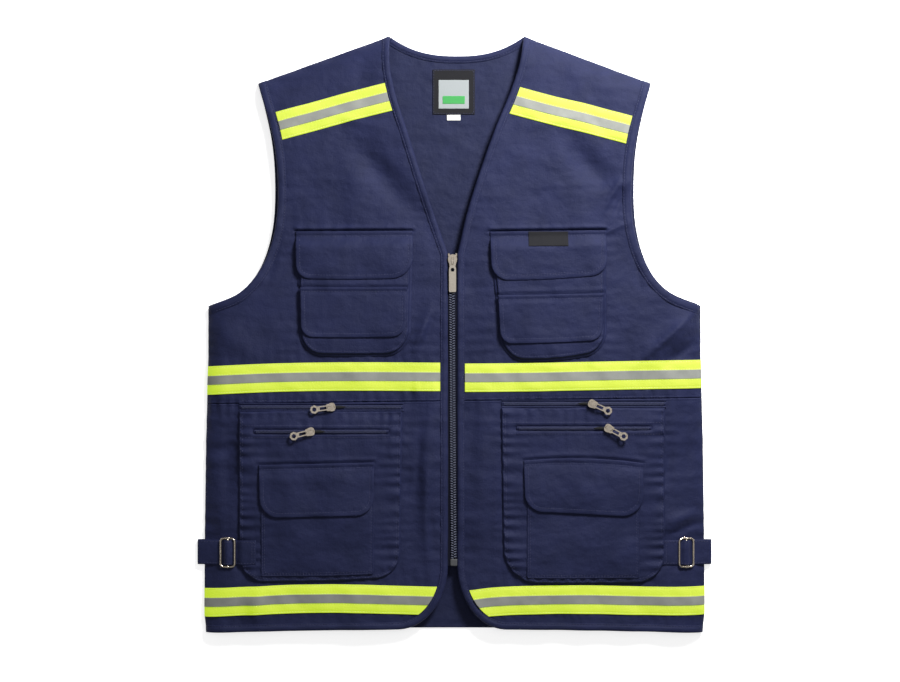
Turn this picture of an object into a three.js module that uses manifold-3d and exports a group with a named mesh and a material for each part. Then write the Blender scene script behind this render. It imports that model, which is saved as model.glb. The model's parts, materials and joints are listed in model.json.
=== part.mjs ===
// Utility work vest, lying front side up: a twill shell of a back and two fronts that open with a
// zip, reflective tapes, bellows chest pockets, cargo pockets, wire-buckled side straps.
// Millimetres, +Z up, +Y towards the neck. Left and right are as seen from above.
import * as THREE from "three";
import Module from "manifold-3d";

const wasm = await Module();
wasm.setup();

// Shell
const BODY_LENGTH = 747; // hem corner to neck point
const CHEST_WIDTH = 624; // side seam to side seam
const ARMPIT_HEIGHT = 408;
const SHOULDER_WIDTH = 492;
const SHOULDER_DROP = 59; // neck point down to shoulder tip
const NECK_WIDTH = 169;
const NECK_SHIFT = 3; // the neck lies a little to the right of the middle
const NECK_DIP = 24.5; // neck points down to the middle of the back neck
const V_HEIGHT = 473; // hem to the top of the zip, where the V starts
const HEM_SWEEP = 5; // how much lower the hem corners lie than the middle of the hem
const CORNER_WIDTH = 62; // rounded lower corner of each front
const CORNER_HEIGHT = 80;
const FRONT_ARMHOLE_CUT = 5; // a front armhole is cut this much deeper than the back
const LOFT = 11; // air between back and front
const ROLL_WIDTH = 70; // how far in from a side seam or shoulder line the front rolls down
const CLOTH = 1.2;
const GAP = 0.3; // clearance between pieces that lie on each other
const EDGE_GAP = 0.5; // clearance between pieces that lie side by side

// Bindings
const FRONT_BAND = 8.8;
const ARMHOLE_BAND = 10.5;
const NECK_BAND = 8.5;
const NECK_BAND_REACH = 0.96; // how far the band runs towards the neck points, as a share
const BAND_THICKNESS = 1.4;

// Reflective tapes
const TAPE_WIDTH = 35.5;
const TAPE_THICKNESS = 1;
const SILVER_WIDTH = 11.2;
const SILVER_THICKNESS = 0.5;
const WAIST_TAPE_HEIGHT = 319.5; // hem to tape centre
const HEM_TAPE_HEIGHT = 41;
const SHOULDER_TAPE_DROP = 82; // neck points down to the tape centre where it meets the V band
const SHOULDER_TAPE_SLOPE = 0.266; // fall per unit towards the armhole
const WAIST_SLOPE = 0.0125; // waist seam and waist tape rise a little to the right

// Main zip
const ZIP_CENTRE = -2.4;
const ZIP_OPENING = 12.4; // between the two front edges
const ZIP_CHAIN_WIDTH = 7.6;
const ZIP_CHAIN_RISE = 2; // teeth above the cloth's underside
const ZIP_TAPE_WIDTH = 28;
const ZIP_BOTTOM_HEIGHT = 83.5; // hem to the bottom box
const ZIP_BOX_LENGTH = 8.8;
const ZIP_BOX_WIDTH = 8.8;

// Chest pockets
const CHEST_FLAP_WIDTH = 146;
const CHEST_FLAP_HEIGHT = 59;
const CHEST_POUCH_WIDTH = 138;
const CHEST_LOWER_FLAP_WIDTH = 132;
const CHEST_POUCH_DEPTH = 7;
const CHEST_POUCH_HEIGHT = 152; // pouch bottom up to flap top
const CHEST_POUCH_CLEARANCE = 11; // waist tape up to pouch bottom
const CHEST_LOWER_FLAP_RISE = 19; // pouch bottom up to lower flap bottom
const CHEST_POUCH_CORNER = 22;
const CHEST_FLAP_CORNER = 18;
const CHEST_LOWER_FLAP_CORNER = 14;
const CHEST_LABEL_WIDTH = 49.5;
const CHEST_LABEL_HEIGHT = 18.5;

// Cargo pockets
const WAIST_SEAM_DROP = 29.5; // waist tape's centre down to the waist seam
const CARGO_SHARE = 0.644; // pocket width as a share of half the chest
const CARGO_DEPTH = 4;
const CARGO_CLEARANCE = 6; // hem tape up to pocket bottom
const PATCH_SHARE = 0.692; // patch width as a share of the pocket's
const PATCH_DEPTH = 3;
const PATCH_RISE = 4; // pocket bottom up to patch bottom
const PATCH_FLAP_OVERHANG = 3; // flap past the patch at each side
const PATCH_FLAP_HEIGHT = 66;
const PATCH_FLAP_DROP = 69; // pocket top down to flap top
const CARGO_CORNER = 22;
const PATCH_CORNER = 12;
const PATCH_FLAP_CORNER = 18;
const FLAP_THICKNESS = 1.6;
const FLAP_STITCH_WIDTH = 3; // top edge of a flap, stitched down
const MOUTH_CLEARANCE = 1.5; // flap stitching down to a pouch mouth

// Pocket zips
const UPPER_ZIP_WIDTH = 10;
const UPPER_ZIP_OVERHANG = 2; // zip past the pocket at each side
const LOWER_ZIP_WIDTH = 6;
const LOWER_ZIP_SHARE = 0.836; // zip length as a share of the pocket's width
const LOWER_ZIP_DROP = 25; // pocket top down to the zip's centre
const POCKET_COIL_THICKNESS = 1.6;

// Zip sliders and pulls
const MAIN_SLIDER_LENGTH = 16.3;
const MAIN_SLIDER_WIDTH = 11.4;
const MAIN_SLIDER_TIP = 7.5;
const POCKET_SLIDER_LENGTH = 11.2;
const POCKET_SLIDER_WIDTH = 10.6;
const POCKET_SLIDER_TIP = 8.5;
const SLIDER_THICKNESS = 2;
const METAL_CORNER = 1; // rounding of slider tips and pull shoulders
const BRIDGE_LENGTH = 9;
const BRIDGE_WIDTH = 2.4;
const BRIDGE_BAR = 1.2;
const PULL_THICKNESS = 1.4;
const PULL_CLEARANCE = 0.5; // round the pull's crossbar
const PULL_SIDE_WALL = 1.4; // metal beside the slot that the bridge passes through
const MAIN_PULL_LENGTH = 39;
const MAIN_PULL_WIDTH = 8.8;
const MAIN_EYE_RADIUS = 4.4;
const MAIN_EYE_HOLE = 2.6;
const MAIN_SHOULDER_DROP = 4; // eye's centre down to the bar's shoulders
const POCKET_PULL_REACH = 20.8; // hinge to the eye's centre
const POCKET_EYE_RADIUS = 5.4;
const POCKET_EYE_HOLE = 2.9;

// Side straps and buckles
const STRAP_WIDTH = 31;
const STRAP_THICKNESS = 1.2;
const STRAP_HEIGHT = 100.5; // hem to strap centre
const STRAP_OVERHANG = 9; // how far the folded strap stands out past the side seam
const STRAP_BACK_LENGTH = 70; // strap on the back, from the side seam
const STRAP_OVERLAP = 19; // strap end stitched over the cargo pocket
const BUCKLE_HEIGHT = 38;
const BUCKLE_WIDTH = 20.5;
const BUCKLE_WIRE = 2.6;
const BUCKLE_CORNER = 3.1;
const STRAP_CREST = 0.7; // half width of the strap's crest over the bar, as a share of the wire

// Labels inside the back neck
const LABEL_WIDTH = 52.8;
const LABEL_HEIGHT = 56.4;
const LABEL_DROP = 41.4; // neck points down to label top
const LABEL_SHIFT = -1; // labels' centre, from the middle of the vest
const LABEL_THICKNESS = 0.8;
const TAB_WIDTH = 17;
const TAB_HEIGHT = 7;

// Lattice that every lying piece shares, so that their gaps stay even
const COLUMNS = 18;
const ROWS = 20;
const LATTICE_MARGIN = 12;
const COLUMN_CROWDING = 1.25; // how strongly the columns crowd towards the sides, in radians

const HALF_CHEST = CHEST_WIDTH / 2;
const TIP_REACH = SHOULDER_WIDTH / 2;
const TIP_HEIGHT = BODY_LENGTH - SHOULDER_DROP;
const BACK_LIFT = STRAP_THICKNESS + GAP; // tapes and straps lie under the lower back
const ON_CLOTH = CLOTH + GAP;
const WAIST_SEAM_HEIGHT = WAIST_TAPE_HEIGHT - WAIST_SEAM_DROP;
const CARGO_WIDTH = CARGO_SHARE * HALF_CHEST;
const PATCH_WIDTH = PATCH_SHARE * CARGO_WIDTH;
const PATCH_FLAP_WIDTH = PATCH_WIDTH + 2 * PATCH_FLAP_OVERHANG;
const UPPER_ZIP_LENGTH = CARGO_WIDTH + 2 * UPPER_ZIP_OVERHANG;
const LOWER_ZIP_LENGTH = LOWER_ZIP_SHARE * CARGO_WIDTH;

// Straight pieces in each curve
const CURVE_STEPS = 3;
const VEE_STEPS = 12;
const ARMHOLE_STEPS = 14;
const CORNER_STEPS = 7;
const NECK_STEPS = 12;
const NECK_BAND_STEPS = 10;
const STRAP_STEPS = 6;
const WIRE_SIDES = 6;
const BAR_SIDES = 8;

const CUT_REACH = 200; // prisms that cut a layer reach this far above and below

const SIDES = [
  { side: "left", sign: -1 },
  { side: "right", sign: 1 },
];

// Side seam: height as a share of the armpit's, reach as a share of half the chest.
const SIDE_ROWS = [
  { up: 0, reach: 0.997 },
  { up: 0.05, reach: 1.005 },
  { up: 0.25, reach: 1.005 },
  { up: 0.59, reach: 0.999 },
  { up: 0.84, reach: 0.99 },
  { up: 1, reach: 0.99 },
];

// Armhole: height as a share from armpit to shoulder tip, reach as a share of the way from the
// side seam in to the tip, past 1 where the armhole is cut deeper than the tip.
const ARMHOLE_ROWS = [
  { up: 0, reach: 0 },
  { up: 0.06, reach: 0.63 },
  { up: 0.175, reach: 1.04 },
  { up: 0.335, reach: 1.27 },
  { up: 0.525, reach: 1.33 },
  { up: 0.745, reach: 1.26 },
  { up: 1, reach: 1 },
];

// V neck: height as a share from zip top to neck point, reach as a share of the way from the zip
// edge out to the neck point, for each side.
const V_ROWS = [
  { up: 0, left: 0, right: 0 },
  { up: 0.18, left: 0.24, right: 0.14 },
  { up: 0.36, left: 0.46, right: 0.32 },
  { up: 0.57, left: 0.71, right: 0.56 },
  { up: 0.74, left: 0.91, right: 0.79 },
  { up: 0.87, left: 1, right: 0.93 },
  { up: 1, left: 1, right: 1 },
];

// Folds and dents of the fronts: centre as shares of half the chest and of the body length,
// direction of the ridge in degrees from +X, its half length and half width as shares of the
// body length, and its height as a share of the loft.
const FOLD_ROWS = [
  { x: -0.29, y: 0.766, turn: -48, length: 0.075, width: 0.022, height: -0.35 },
  { x: 0.55, y: 0.778, turn: -46, length: 0.06, width: 0.02, height: -0.3 },
  { x: 0.64, y: 0.745, turn: 20, length: 0.03, width: 0.012, height: 0.2 },
  { x: 0.88, y: 0.5, turn: 40, length: 0.055, width: 0.018, height: 0.35 },
  { x: -0.12, y: 0.515, turn: 60, length: 0.04, width: 0.015, height: 0.25 },
  { x: -0.1, y: 0.27, turn: 90, length: 0.16, width: 0.02, height: 0.22 },
  { x: 0.11, y: 0.25, turn: 88, length: 0.14, width: 0.018, height: 0.2 },
  { x: -0.79, y: 0.055, turn: 80, length: 0.035, width: 0.015, height: 0.25 },
  { x: 0.9, y: 0.19, turn: -18, length: 0.04, width: 0.016, height: 0.22 },
  { x: -0.88, y: 0.49, turn: -40, length: 0.05, width: 0.018, height: 0.25 },
];

// Chest pockets: centre as a share of half the chest, and the space between the two flaps as a
// share of the upper flap's height.
const CHEST_POCKETS = {
  left: { x: -0.401, space: 0.19 },
  right: { x: 0.375, space: 0.33 },
};

// Cargo pockets: centre as a share of half the chest, and how far the buckle beside each one lies
// from the side seam as a share of the space between seam and pocket.
const CARGO_POCKETS = {
  left: { x: -0.532, buckle: 0.643 },
  right: { x: 0.518, buckle: 0.463 },
};

// Pocket zips: slider's place as a share of the zip's length from its middle, and the direction
// in which the pull lies, in degrees from +X.
const ZIP_ROWS = {
  upper: {
    left: { slide: 0.06, turn: 188 },
    right: { slide: 0.05, turn: -24 },
  },
  lower: {
    left: { slide: -0.08, turn: 195 },
    right: { slide: 0.18, turn: -28 },
  },
};

const finish = (colour, roughness, metalness = 0) =>
  new THREE.MeshStandardMaterial({ color: colour, roughness, metalness });
const MATERIALS = {
  twill: finish(0x363a5c, 0.85),
  binding: finish(0x2e3252, 0.8),
  lime: finish(0xd9f54e, 0.6),
  silver: finish(0x989a92, 0.35),
  webbing: finish(0x24274a, 0.8),
  zip: finish(0x2a2c38, 0.5),
  nickel: finish(0xc8beaf, 0.3, 1),
  label: finish(0x3a3a3e, 0.7),
  tab: finish(0xe6e6e4, 0.7),
};

// Value of a column of a table at a height, by straight lines between its rows.
function between(rows, up, column) {
  const next = Math.max(1, rows.findIndex((row) => row.up >= up));
  const low = rows[next - 1];
  const high = rows[next];
  const share = THREE.MathUtils.clamp((up - low.up) / (high.up - low.up), 0, 1);
  return THREE.MathUtils.lerp(low[column], high[column], share);
}

const sideReach = (y) => HALF_CHEST * between(SIDE_ROWS, y / ARMPIT_HEIGHT, "reach");
const neckX = (sign) => NECK_SHIFT + (sign * NECK_WIDTH) / 2;
const zipEdge = (sign) => ZIP_CENTRE + (sign * ZIP_OPENING) / 2;
const hemHeight = (x) => HEM_SWEEP * (1 - (x / HALF_CHEST) ** 2);
const slopeAt = (x) => WAIST_SLOPE * x;

// The lattice is finer towards the sides, where the fronts roll down.
const latticeReach = HALF_CHEST + LATTICE_MARGIN;
const columnXs = [];
for (let i = 0; i <= COLUMNS; i += 1) {
  const share = (2 * i) / COLUMNS - 1;
  columnXs.push((latticeReach * Math.sin(share * COLUMN_CROWDING)) / Math.sin(COLUMN_CROWDING));
}
const rowYs = [];
for (let j = 0; j <= ROWS; j += 1) {
  rowYs.push(-LATTICE_MARGIN + ((BODY_LENGTH + 2 * LATTICE_MARGIN) * j) / ROWS);
}

// Height of the back's underside: the lower part is lifted by the tapes and straps below it, and
// comes down in one straight ramp between two rows of the lattice.
const rampRow = rowYs.findIndex((y) => y > WAIST_TAPE_HEIGHT + TAPE_WIDTH);
const rampStart = rowYs[rampRow];
const rampEnd = rowYs[rampRow + 2];
const backHeight = (y) =>
  BACK_LIFT * THREE.MathUtils.clamp((rampEnd - y) / (rampEnd - rampStart), 0, 1);

// Distance from the nearest line where front and back are joined, a side seam or the shoulder.
function joinDistance(x, y) {
  const reach = Math.abs(x);
  const beyond = Math.max(0, y - ARMPIT_HEIGHT);
  const side = Math.hypot(Math.max(0, sideReach(Math.min(y, ARMPIT_HEIGHT)) - reach), beyond);
  const shoulder = new THREE.Vector2(TIP_REACH - NECK_WIDTH / 2, -SHOULDER_DROP);
  const fall = (reach - NECK_WIDTH / 2) * (shoulder.y / shoulder.x);
  const below = ((BODY_LENGTH + fall - y) * shoulder.x) / shoulder.length();
  return Math.max(0, Math.min(side, below));
}

function foldHeight(x, y) {
  let sum = 0;
  for (const fold of FOLD_ROWS) {
    const turn = THREE.MathUtils.degToRad(fold.turn);
    const dx = x - fold.x * HALF_CHEST;
    const dy = y - fold.y * BODY_LENGTH;
    const along = (dx * Math.cos(turn) + dy * Math.sin(turn)) / (fold.length * BODY_LENGTH);
    const across = (dy * Math.cos(turn) - dx * Math.sin(turn)) / (fold.width * BODY_LENGTH);
    sum += fold.height * LOFT * Math.exp(-along * along - across * across);
  }
  return sum;
}

// Height of the fronts' underside: a round roll up from the joined edges, with the folds on it.
function frontHeight(x, y) {
  const share = Math.min(1, joinDistance(x, y) / ROLL_WIDTH);
  const roll = 1 - (1 - share) ** 2;
  return backHeight(y) + ON_CLOTH + roll * (LOFT + foldHeight(x, y));
}

function latticeOf(xs, ys, heightOf) {
  return { xs, ys, heights: xs.map((x) => ys.map((y) => heightOf(x, y))) };
}
const frontField = latticeOf(columnXs, rowYs, frontHeight);
const backField = latticeOf(
  [-latticeReach, latticeReach],
  [rowYs[0], rampStart, rampEnd, rowYs.at(-1)],
  (x, y) => backHeight(y),
);

function cellIndex(lines, value) {
  const found = lines.findIndex((line) => line > value);
  return THREE.MathUtils.clamp(found < 0 ? lines.length - 2 : found - 1, 0, lines.length - 2);
}

// Height of a lattice at a point, on the same two triangles of a cell as the layers.
function heightAt({ xs, ys, heights }, x, y) {
  const i = cellIndex(xs, x);
  const j = cellIndex(ys, y);
  const u = (x - xs[i]) / (xs[i + 1] - xs[i]);
  const v = (y - ys[j]) / (ys[j + 1] - ys[j]);
  const low = heights[i][j];
  const high = heights[i + 1][j + 1];
  if (u > v) {
    return low + (heights[i + 1][j] - low) * (u - v) + (high - low) * v;
  }
  return low + (heights[i][j + 1] - low) * (v - u) + (high - low) * u;
}

// Highest point of the fronts' underside under a small rectangle.
function highestUnder(x, y, width, height) {
  const heights = [];
  for (const u of [-0.5, 0, 0.5]) {
    for (const v of [-0.5, 0, 0.5]) {
      heights.push(heightAt(frontField, x + u * width, y + v * height));
    }
  }
  return Math.max(...heights);
}

function toSolid(vertices, triangles) {
  return new wasm.Manifold(
    new wasm.Mesh({
      numProp: 3,
      vertProperties: new Float32Array(vertices),
      triVerts: new Uint32Array(triangles),
    }),
  );
}

function toMesh(name, solid, material) {
  const { vertProperties, triVerts } = solid.getMesh();
  const geometry = new THREE.BufferGeometry();
  geometry.setAttribute("position", new THREE.BufferAttribute(vertProperties, 3));
  geometry.setIndex(new THREE.BufferAttribute(triVerts, 1));
  geometry.computeVertexNormals();
  const mesh = new THREE.Mesh(geometry, material);
  mesh.name = name;
  return mesh;
}

// Solid of a three.js geometry, with its shared vertices merged.
function solidOf(geometry) {
  const position = geometry.getAttribute("position");
  const index = geometry.index ? [...geometry.index.array] : [...Array(position.count).keys()];
  const seen = new Map();
  const vertices = [];
  const triangles = index.map((at) => {
    const point = [position.getX(at), position.getY(at), position.getZ(at)];
    const key = point.map((value) => Math.round(value * 1e4) + 0).join();
    if (!seen.has(key)) {
      seen.set(key, vertices.length / 3);
      vertices.push(...point);
    }
    return seen.get(key);
  });
  const kept = [];
  for (let t = 0; t < triangles.length; t += 3) {
    const [a, b, c] = triangles.slice(t, t + 3);
    if (a !== b && b !== c && c !== a) kept.push(a, b, c);
  }
  return toSolid(vertices, kept);
}

// An outline without repeated points and without points on a straight line between neighbours.
function cornersOf(outline) {
  const apart = outline.filter(
    (point, k) => point.distanceTo(outline[(k + outline.length - 1) % outline.length]) > 1e-3,
  );
  return apart.filter((point, k) => {
    const before = apart[(k + apart.length - 1) % apart.length];
    const after = apart[(k + 1) % apart.length];
    const turn = after.clone().sub(point).normalize().cross(point.clone().sub(before).normalize());
    return Math.abs(turn) > 1e-5;
  });
}

function extruded(shape, depth, bottom) {
  const { shape: outline, holes } = shape.extractPoints(CURVE_STEPS);
  const clean = new THREE.Shape(cornersOf(outline));
  clean.holes = holes.map((hole) => new THREE.Path(cornersOf(hole)));
  const geometry = new THREE.ExtrudeGeometry(clean, { depth, bevelEnabled: false });
  return solidOf(geometry.translate(0, 0, bottom));
}

const prism = (outline) => extruded(new THREE.Shape(outline), 2 * CUT_REACH, -CUT_REACH);

// A layer that lies on a lattice, from one height above it to another, cut to an outline.
function layer(outline, { xs, ys, heights }, from, to) {
  const box = new THREE.Box2().setFromPoints(outline);
  const firstI = cellIndex(xs, box.min.x);
  const lastI = cellIndex(xs, box.max.x) + 1;
  const firstJ = cellIndex(ys, box.min.y);
  const lastJ = cellIndex(ys, box.max.y) + 1;
  const deep = lastJ - firstJ + 1;
  const vertices = [];
  for (let i = firstI; i <= lastI; i += 1) {
    for (let j = firstJ; j <= lastJ; j += 1) {
      vertices.push(xs[i], ys[j], heights[i][j] + from);
      vertices.push(xs[i], ys[j], heights[i][j] + to);
    }
  }
  const at = (i, j, top) => 2 * ((i - firstI) * deep + (j - firstJ)) + top;
  const triangles = [];
  const quad = (a, b, c, d) => triangles.push(a, b, c, a, c, d);
  for (let i = firstI; i < lastI; i += 1) {
    for (let j = firstJ; j < lastJ; j += 1) {
      quad(at(i, j, 1), at(i + 1, j, 1), at(i + 1, j + 1, 1), at(i, j + 1, 1));
      triangles.push(at(i, j, 0), at(i + 1, j + 1, 0), at(i + 1, j, 0));
      triangles.push(at(i, j, 0), at(i, j + 1, 0), at(i + 1, j + 1, 0));
    }
    quad(at(i, firstJ, 0), at(i + 1, firstJ, 0), at(i + 1, firstJ, 1), at(i, firstJ, 1));
    quad(at(i + 1, lastJ, 0), at(i, lastJ, 0), at(i, lastJ, 1), at(i + 1, lastJ, 1));
  }
  for (let j = firstJ; j < lastJ; j += 1) {
    quad(at(lastI, j, 0), at(lastI, j + 1, 0), at(lastI, j + 1, 1), at(lastI, j, 1));
    quad(at(firstI, j + 1, 0), at(firstI, j, 0), at(firstI, j, 1), at(firstI, j + 1, 1));
  }
  return toSolid(vertices, triangles).intersect(prism(outline));
}

// Outlines
const points = (pairs) => pairs.map(([x, y]) => new THREE.Vector2(x, y));
const spline = (pairs, steps) => new THREE.SplineCurve(points(pairs)).getPoints(steps);

// Path moved sideways, to the left of its direction for a positive distance.
function offsetPath(path, distance) {
  return path.map((point, k) => {
    const before = path[Math.max(0, k - 1)];
    const after = path[Math.min(path.length - 1, k + 1)];
    const along = after.clone().sub(before).normalize();
    return new THREE.Vector2(point.x - along.y * distance, point.y + along.x * distance);
  });
}

const stripAlong = (path, distance) => [...path, ...offsetPath(path, distance).reverse()];

// Side seam from one height up to another.
function sidePath(sign, from, to) {
  const inside = SIDE_ROWS.map((row) => row.up * ARMPIT_HEIGHT).filter((y) => y > from && y < to);
  return points([from, ...inside, to].map((y) => [sign * sideReach(y), y]));
}

// Armhole from the armpit up to the shoulder tip, cut deeper in the middle by a given depth.
function armholePath(sign, cut) {
  const reach = sideReach(ARMPIT_HEIGHT);
  return spline(
    ARMHOLE_ROWS.map((row) => [
      sign * (reach + (TIP_REACH - reach) * row.reach - cut * Math.sin(Math.PI * row.up)),
      ARMPIT_HEIGHT + (TIP_HEIGHT - ARMPIT_HEIGHT) * row.up,
    ]),
    ARMHOLE_STEPS,
  );
}

// Front edge of one front: down the V, down beside the zip and round the lower corner.
function frontEdge({ side, sign }) {
  const edge = zipEdge(sign);
  const vee = spline(
    V_ROWS.map((row) => [
      edge + (neckX(sign) - edge) * row[side],
      V_HEIGHT + (BODY_LENGTH - V_HEIGHT) * row.up,
    ]),
    VEE_STEPS,
  ).reverse();
  const corner = [];
  for (let k = 0; k <= CORNER_STEPS; k += 1) {
    const turn = (k * Math.PI) / (2 * CORNER_STEPS);
    const x = edge + sign * CORNER_WIDTH * (1 - Math.cos(turn));
    corner.push([x, hemHeight(x) + CORNER_HEIGHT * (1 - Math.sin(turn))]);
  }
  return [...vee, ...points(corner)];
}

function hemPath(from, to) {
  const xs = [0, 0.25, 0.5, 0.75, 1].map((share) => THREE.MathUtils.lerp(from, to, share));
  return points(xs.map((x) => [x, hemHeight(x)]));
}

function frontOutline(at) {
  const edge = frontEdge(at);
  const side = sidePath(at.sign, 0, ARMPIT_HEIGHT);
  return [
    ...edge,
    ...hemPath(edge.at(-1).x, side[0].x).slice(1, -1),
    ...side,
    ...armholePath(at.sign, FRONT_ARMHOLE_CUT).slice(1),
  ];
}

// Where a tape may lie on a front: inside its bindings.
function tapeOutline(at) {
  const edge = offsetPath(frontEdge(at), at.sign * (FRONT_BAND + EDGE_GAP));
  const armhole = offsetPath(
    armholePath(at.sign, FRONT_ARMHOLE_CUT),
    at.sign * (ARMHOLE_BAND + EDGE_GAP),
  );
  const seam = sidePath(at.sign, HEM_SWEEP, ARMPIT_HEIGHT - ARMHOLE_BAND - EDGE_GAP);
  return [...edge, ...seam, ...armhole.slice(1)];
}

function backOutline() {
  const neck = [];
  for (let k = 0; k <= NECK_STEPS; k += 1) {
    const share = (2 * k) / NECK_STEPS - 1;
    neck.push([NECK_SHIFT + (share * NECK_WIDTH) / 2, neckHeight(share)]);
  }
  const left = [...sidePath(-1, 0, ARMPIT_HEIGHT), ...armholePath(-1, 0).slice(1)];
  const right = [...sidePath(1, 0, ARMPIT_HEIGHT), ...armholePath(1, 0).slice(1)];
  const hem = hemPath(right[0].x, left[0].x).slice(1, -1);
  return [...left, ...points(neck), ...right.reverse(), ...hem];
}

// Back neck curve, from -1 at the left neck point to 1 at the right one.
function neckHeight(share) {
  return BODY_LENGTH - NECK_DIP * (1 - Math.abs(share) ** 2.5);
}

// A rectangle with rounded lower corners, and a slight slope that follows the waist.
function pocketOutline(x, width, bottom, top, radius) {
  const shape = new THREE.Shape();
  const left = x - width / 2;
  const right = x + width / 2;
  shape.moveTo(left, top);
  shape.lineTo(left, bottom + radius);
  shape.absarc(left + radius, bottom + radius, radius, Math.PI, 1.5 * Math.PI, false);
  shape.lineTo(right - radius, bottom);
  shape.absarc(right - radius, bottom + radius, radius, 1.5 * Math.PI, 2 * Math.PI, false);
  shape.lineTo(right, top);
  return shape.getPoints(CURVE_STEPS);
}

const stretch = (left, right, bottom, top, slope) =>
  points([
    [left, bottom + slope * left],
    [right, bottom + slope * right],
    [right, top + slope * right],
    [left, top + slope * left],
  ]);

const group = new THREE.Group();
group.position.y = -BODY_LENGTH / 2;
const add = (name, solid, material) => group.add(toMesh(name, solid, material));

// A strip across one front, cut to lie inside the bindings.
function addTape(name, at, height, width, slope, from, thickness, material) {
  const reach = HALF_CHEST + LATTICE_MARGIN;
  const turned = width / Math.cos(Math.atan(slope));
  const [left, right] = at.sign < 0 ? [-reach, 0] : [0, reach];
  const band = stretch(left, right, height - turned / 2, height + turned / 2, slope);
  const solid = layer(band, frontField, from, from + thickness).intersect(prism(tapeOutline(at)));
  add(name, solid, material);
}

// A pouch sewn on along its sides and bottom and open at its mouth, with no cloth of its own
// behind it.
function pouch(x, width, bottom, mouth, radius, base, depth) {
  const outer = layer(
    pocketOutline(x, width, bottom, mouth, radius),
    frontField,
    base,
    base + depth,
  );
  const inner = layer(
    pocketOutline(x, width - 2 * CLOTH, bottom + CLOTH, mouth + CLOTH, radius - CLOTH),
    frontField,
    base - CLOTH,
    base + depth - CLOTH,
  );
  return outer.subtract(inner);
}

// A flap over a pouch of a given depth, stitched down along its top edge.
function flap(x, width, bottom, top, radius, base, depth) {
  const cover = layer(
    pocketOutline(x, width, bottom, top, radius),
    frontField,
    base + depth + GAP,
    base + depth + GAP + FLAP_THICKNESS,
  );
  const stitched = layer(
    stretch(x - width / 2, x + width / 2, top - FLAP_STITCH_WIDTH, top, 0),
    frontField,
    base,
    base + depth + GAP + FLAP_THICKNESS / 2,
  );
  return cover.add(stitched);
}

// Shell
add("back_panel", layer(backOutline(), backField, 0, CLOTH), MATERIALS.twill);
for (const at of SIDES) {
  const outline = frontOutline(at);
  const cloth = layer(outline, frontField, 0, CLOTH);
  const reach = HALF_CHEST + LATTICE_MARGIN;
  const above = stretch(
    -reach,
    reach,
    WAIST_SEAM_HEIGHT + EDGE_GAP / 2,
    BODY_LENGTH + LATTICE_MARGIN,
    WAIST_SLOPE,
  );
  const below = stretch(
    -reach,
    reach,
    -LATTICE_MARGIN,
    WAIST_SEAM_HEIGHT - EDGE_GAP / 2,
    WAIST_SLOPE,
  );
  add(`front_upper_${at.side}`, cloth.intersect(prism(above)), MATERIALS.twill);
  add(`front_lower_${at.side}`, cloth.intersect(prism(below)), MATERIALS.twill);
  add(
    `front_band_${at.side}`,
    layer(
      stripAlong(frontEdge(at), at.sign * FRONT_BAND),
      frontField,
      ON_CLOTH,
      ON_CLOTH + BAND_THICKNESS,
    ).intersect(prism(outline)),
    MATERIALS.binding,
  );
  add(
    `armhole_band_${at.side}`,
    layer(
      stripAlong(armholePath(at.sign, FRONT_ARMHOLE_CUT), at.sign * ARMHOLE_BAND),
      frontField,
      ON_CLOTH,
      ON_CLOTH + BAND_THICKNESS,
    ).intersect(prism(outline)),
    MATERIALS.binding,
  );
}

const neckBand = [];
for (const drop of [0, NECK_BAND]) {
  const line = [];
  for (let k = 0; k <= NECK_BAND_STEPS; k += 1) {
    const share = ((2 * k) / NECK_BAND_STEPS - 1) * NECK_BAND_REACH;
    line.push([NECK_SHIFT + (share * NECK_WIDTH) / 2, neckHeight(share) - drop]);
  }
  neckBand.push(...(drop ? line.reverse() : line));
}
add(
  "back_neck_band",
  layer(points(neckBand), backField, ON_CLOTH, ON_CLOTH + BAND_THICKNESS),
  MATERIALS.binding,
);

// Tapes
const shoulderTape = BODY_LENGTH - SHOULDER_TAPE_DROP + (SHOULDER_TAPE_SLOPE * NECK_WIDTH) / 2;
for (const at of SIDES) {
  const tapes = [
    { place: "shoulder", height: shoulderTape, slope: -at.sign * SHOULDER_TAPE_SLOPE },
    { place: "waist", height: WAIST_TAPE_HEIGHT, slope: WAIST_SLOPE },
    { place: "hem", height: HEM_TAPE_HEIGHT, slope: 0 },
  ];
  for (const { place, height, slope } of tapes) {
    const tapeTop = ON_CLOTH + TAPE_THICKNESS;
    addTape(
      `${place}_tape_${at.side}`,
      at,
      height,
      TAPE_WIDTH,
      slope,
      ON_CLOTH,
      TAPE_THICKNESS,
      MATERIALS.lime,
    );
    addTape(
      `${place}_silver_${at.side}`,
      at,
      height,
      SILVER_WIDTH,
      slope,
      tapeTop + GAP,
      SILVER_THICKNESS,
      MATERIALS.silver,
    );
  }
}
for (const { place, height, slope } of [
  { place: "waist", height: WAIST_TAPE_HEIGHT, slope: WAIST_SLOPE },
  { place: "hem", height: HEM_TAPE_HEIGHT, slope: 0 },
]) {
  const reach = Math.min(sideReach(height - TAPE_WIDTH / 2), sideReach(height + TAPE_WIDTH / 2));
  const outline = stretch(-reach, reach, height - TAPE_WIDTH / 2, height + TAPE_WIDTH / 2, slope);
  const back = extruded(new THREE.Shape(outline), BACK_LIFT - GAP, 0);
  add(`back_${place}_tape`, back, MATERIALS.lime);
}

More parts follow.
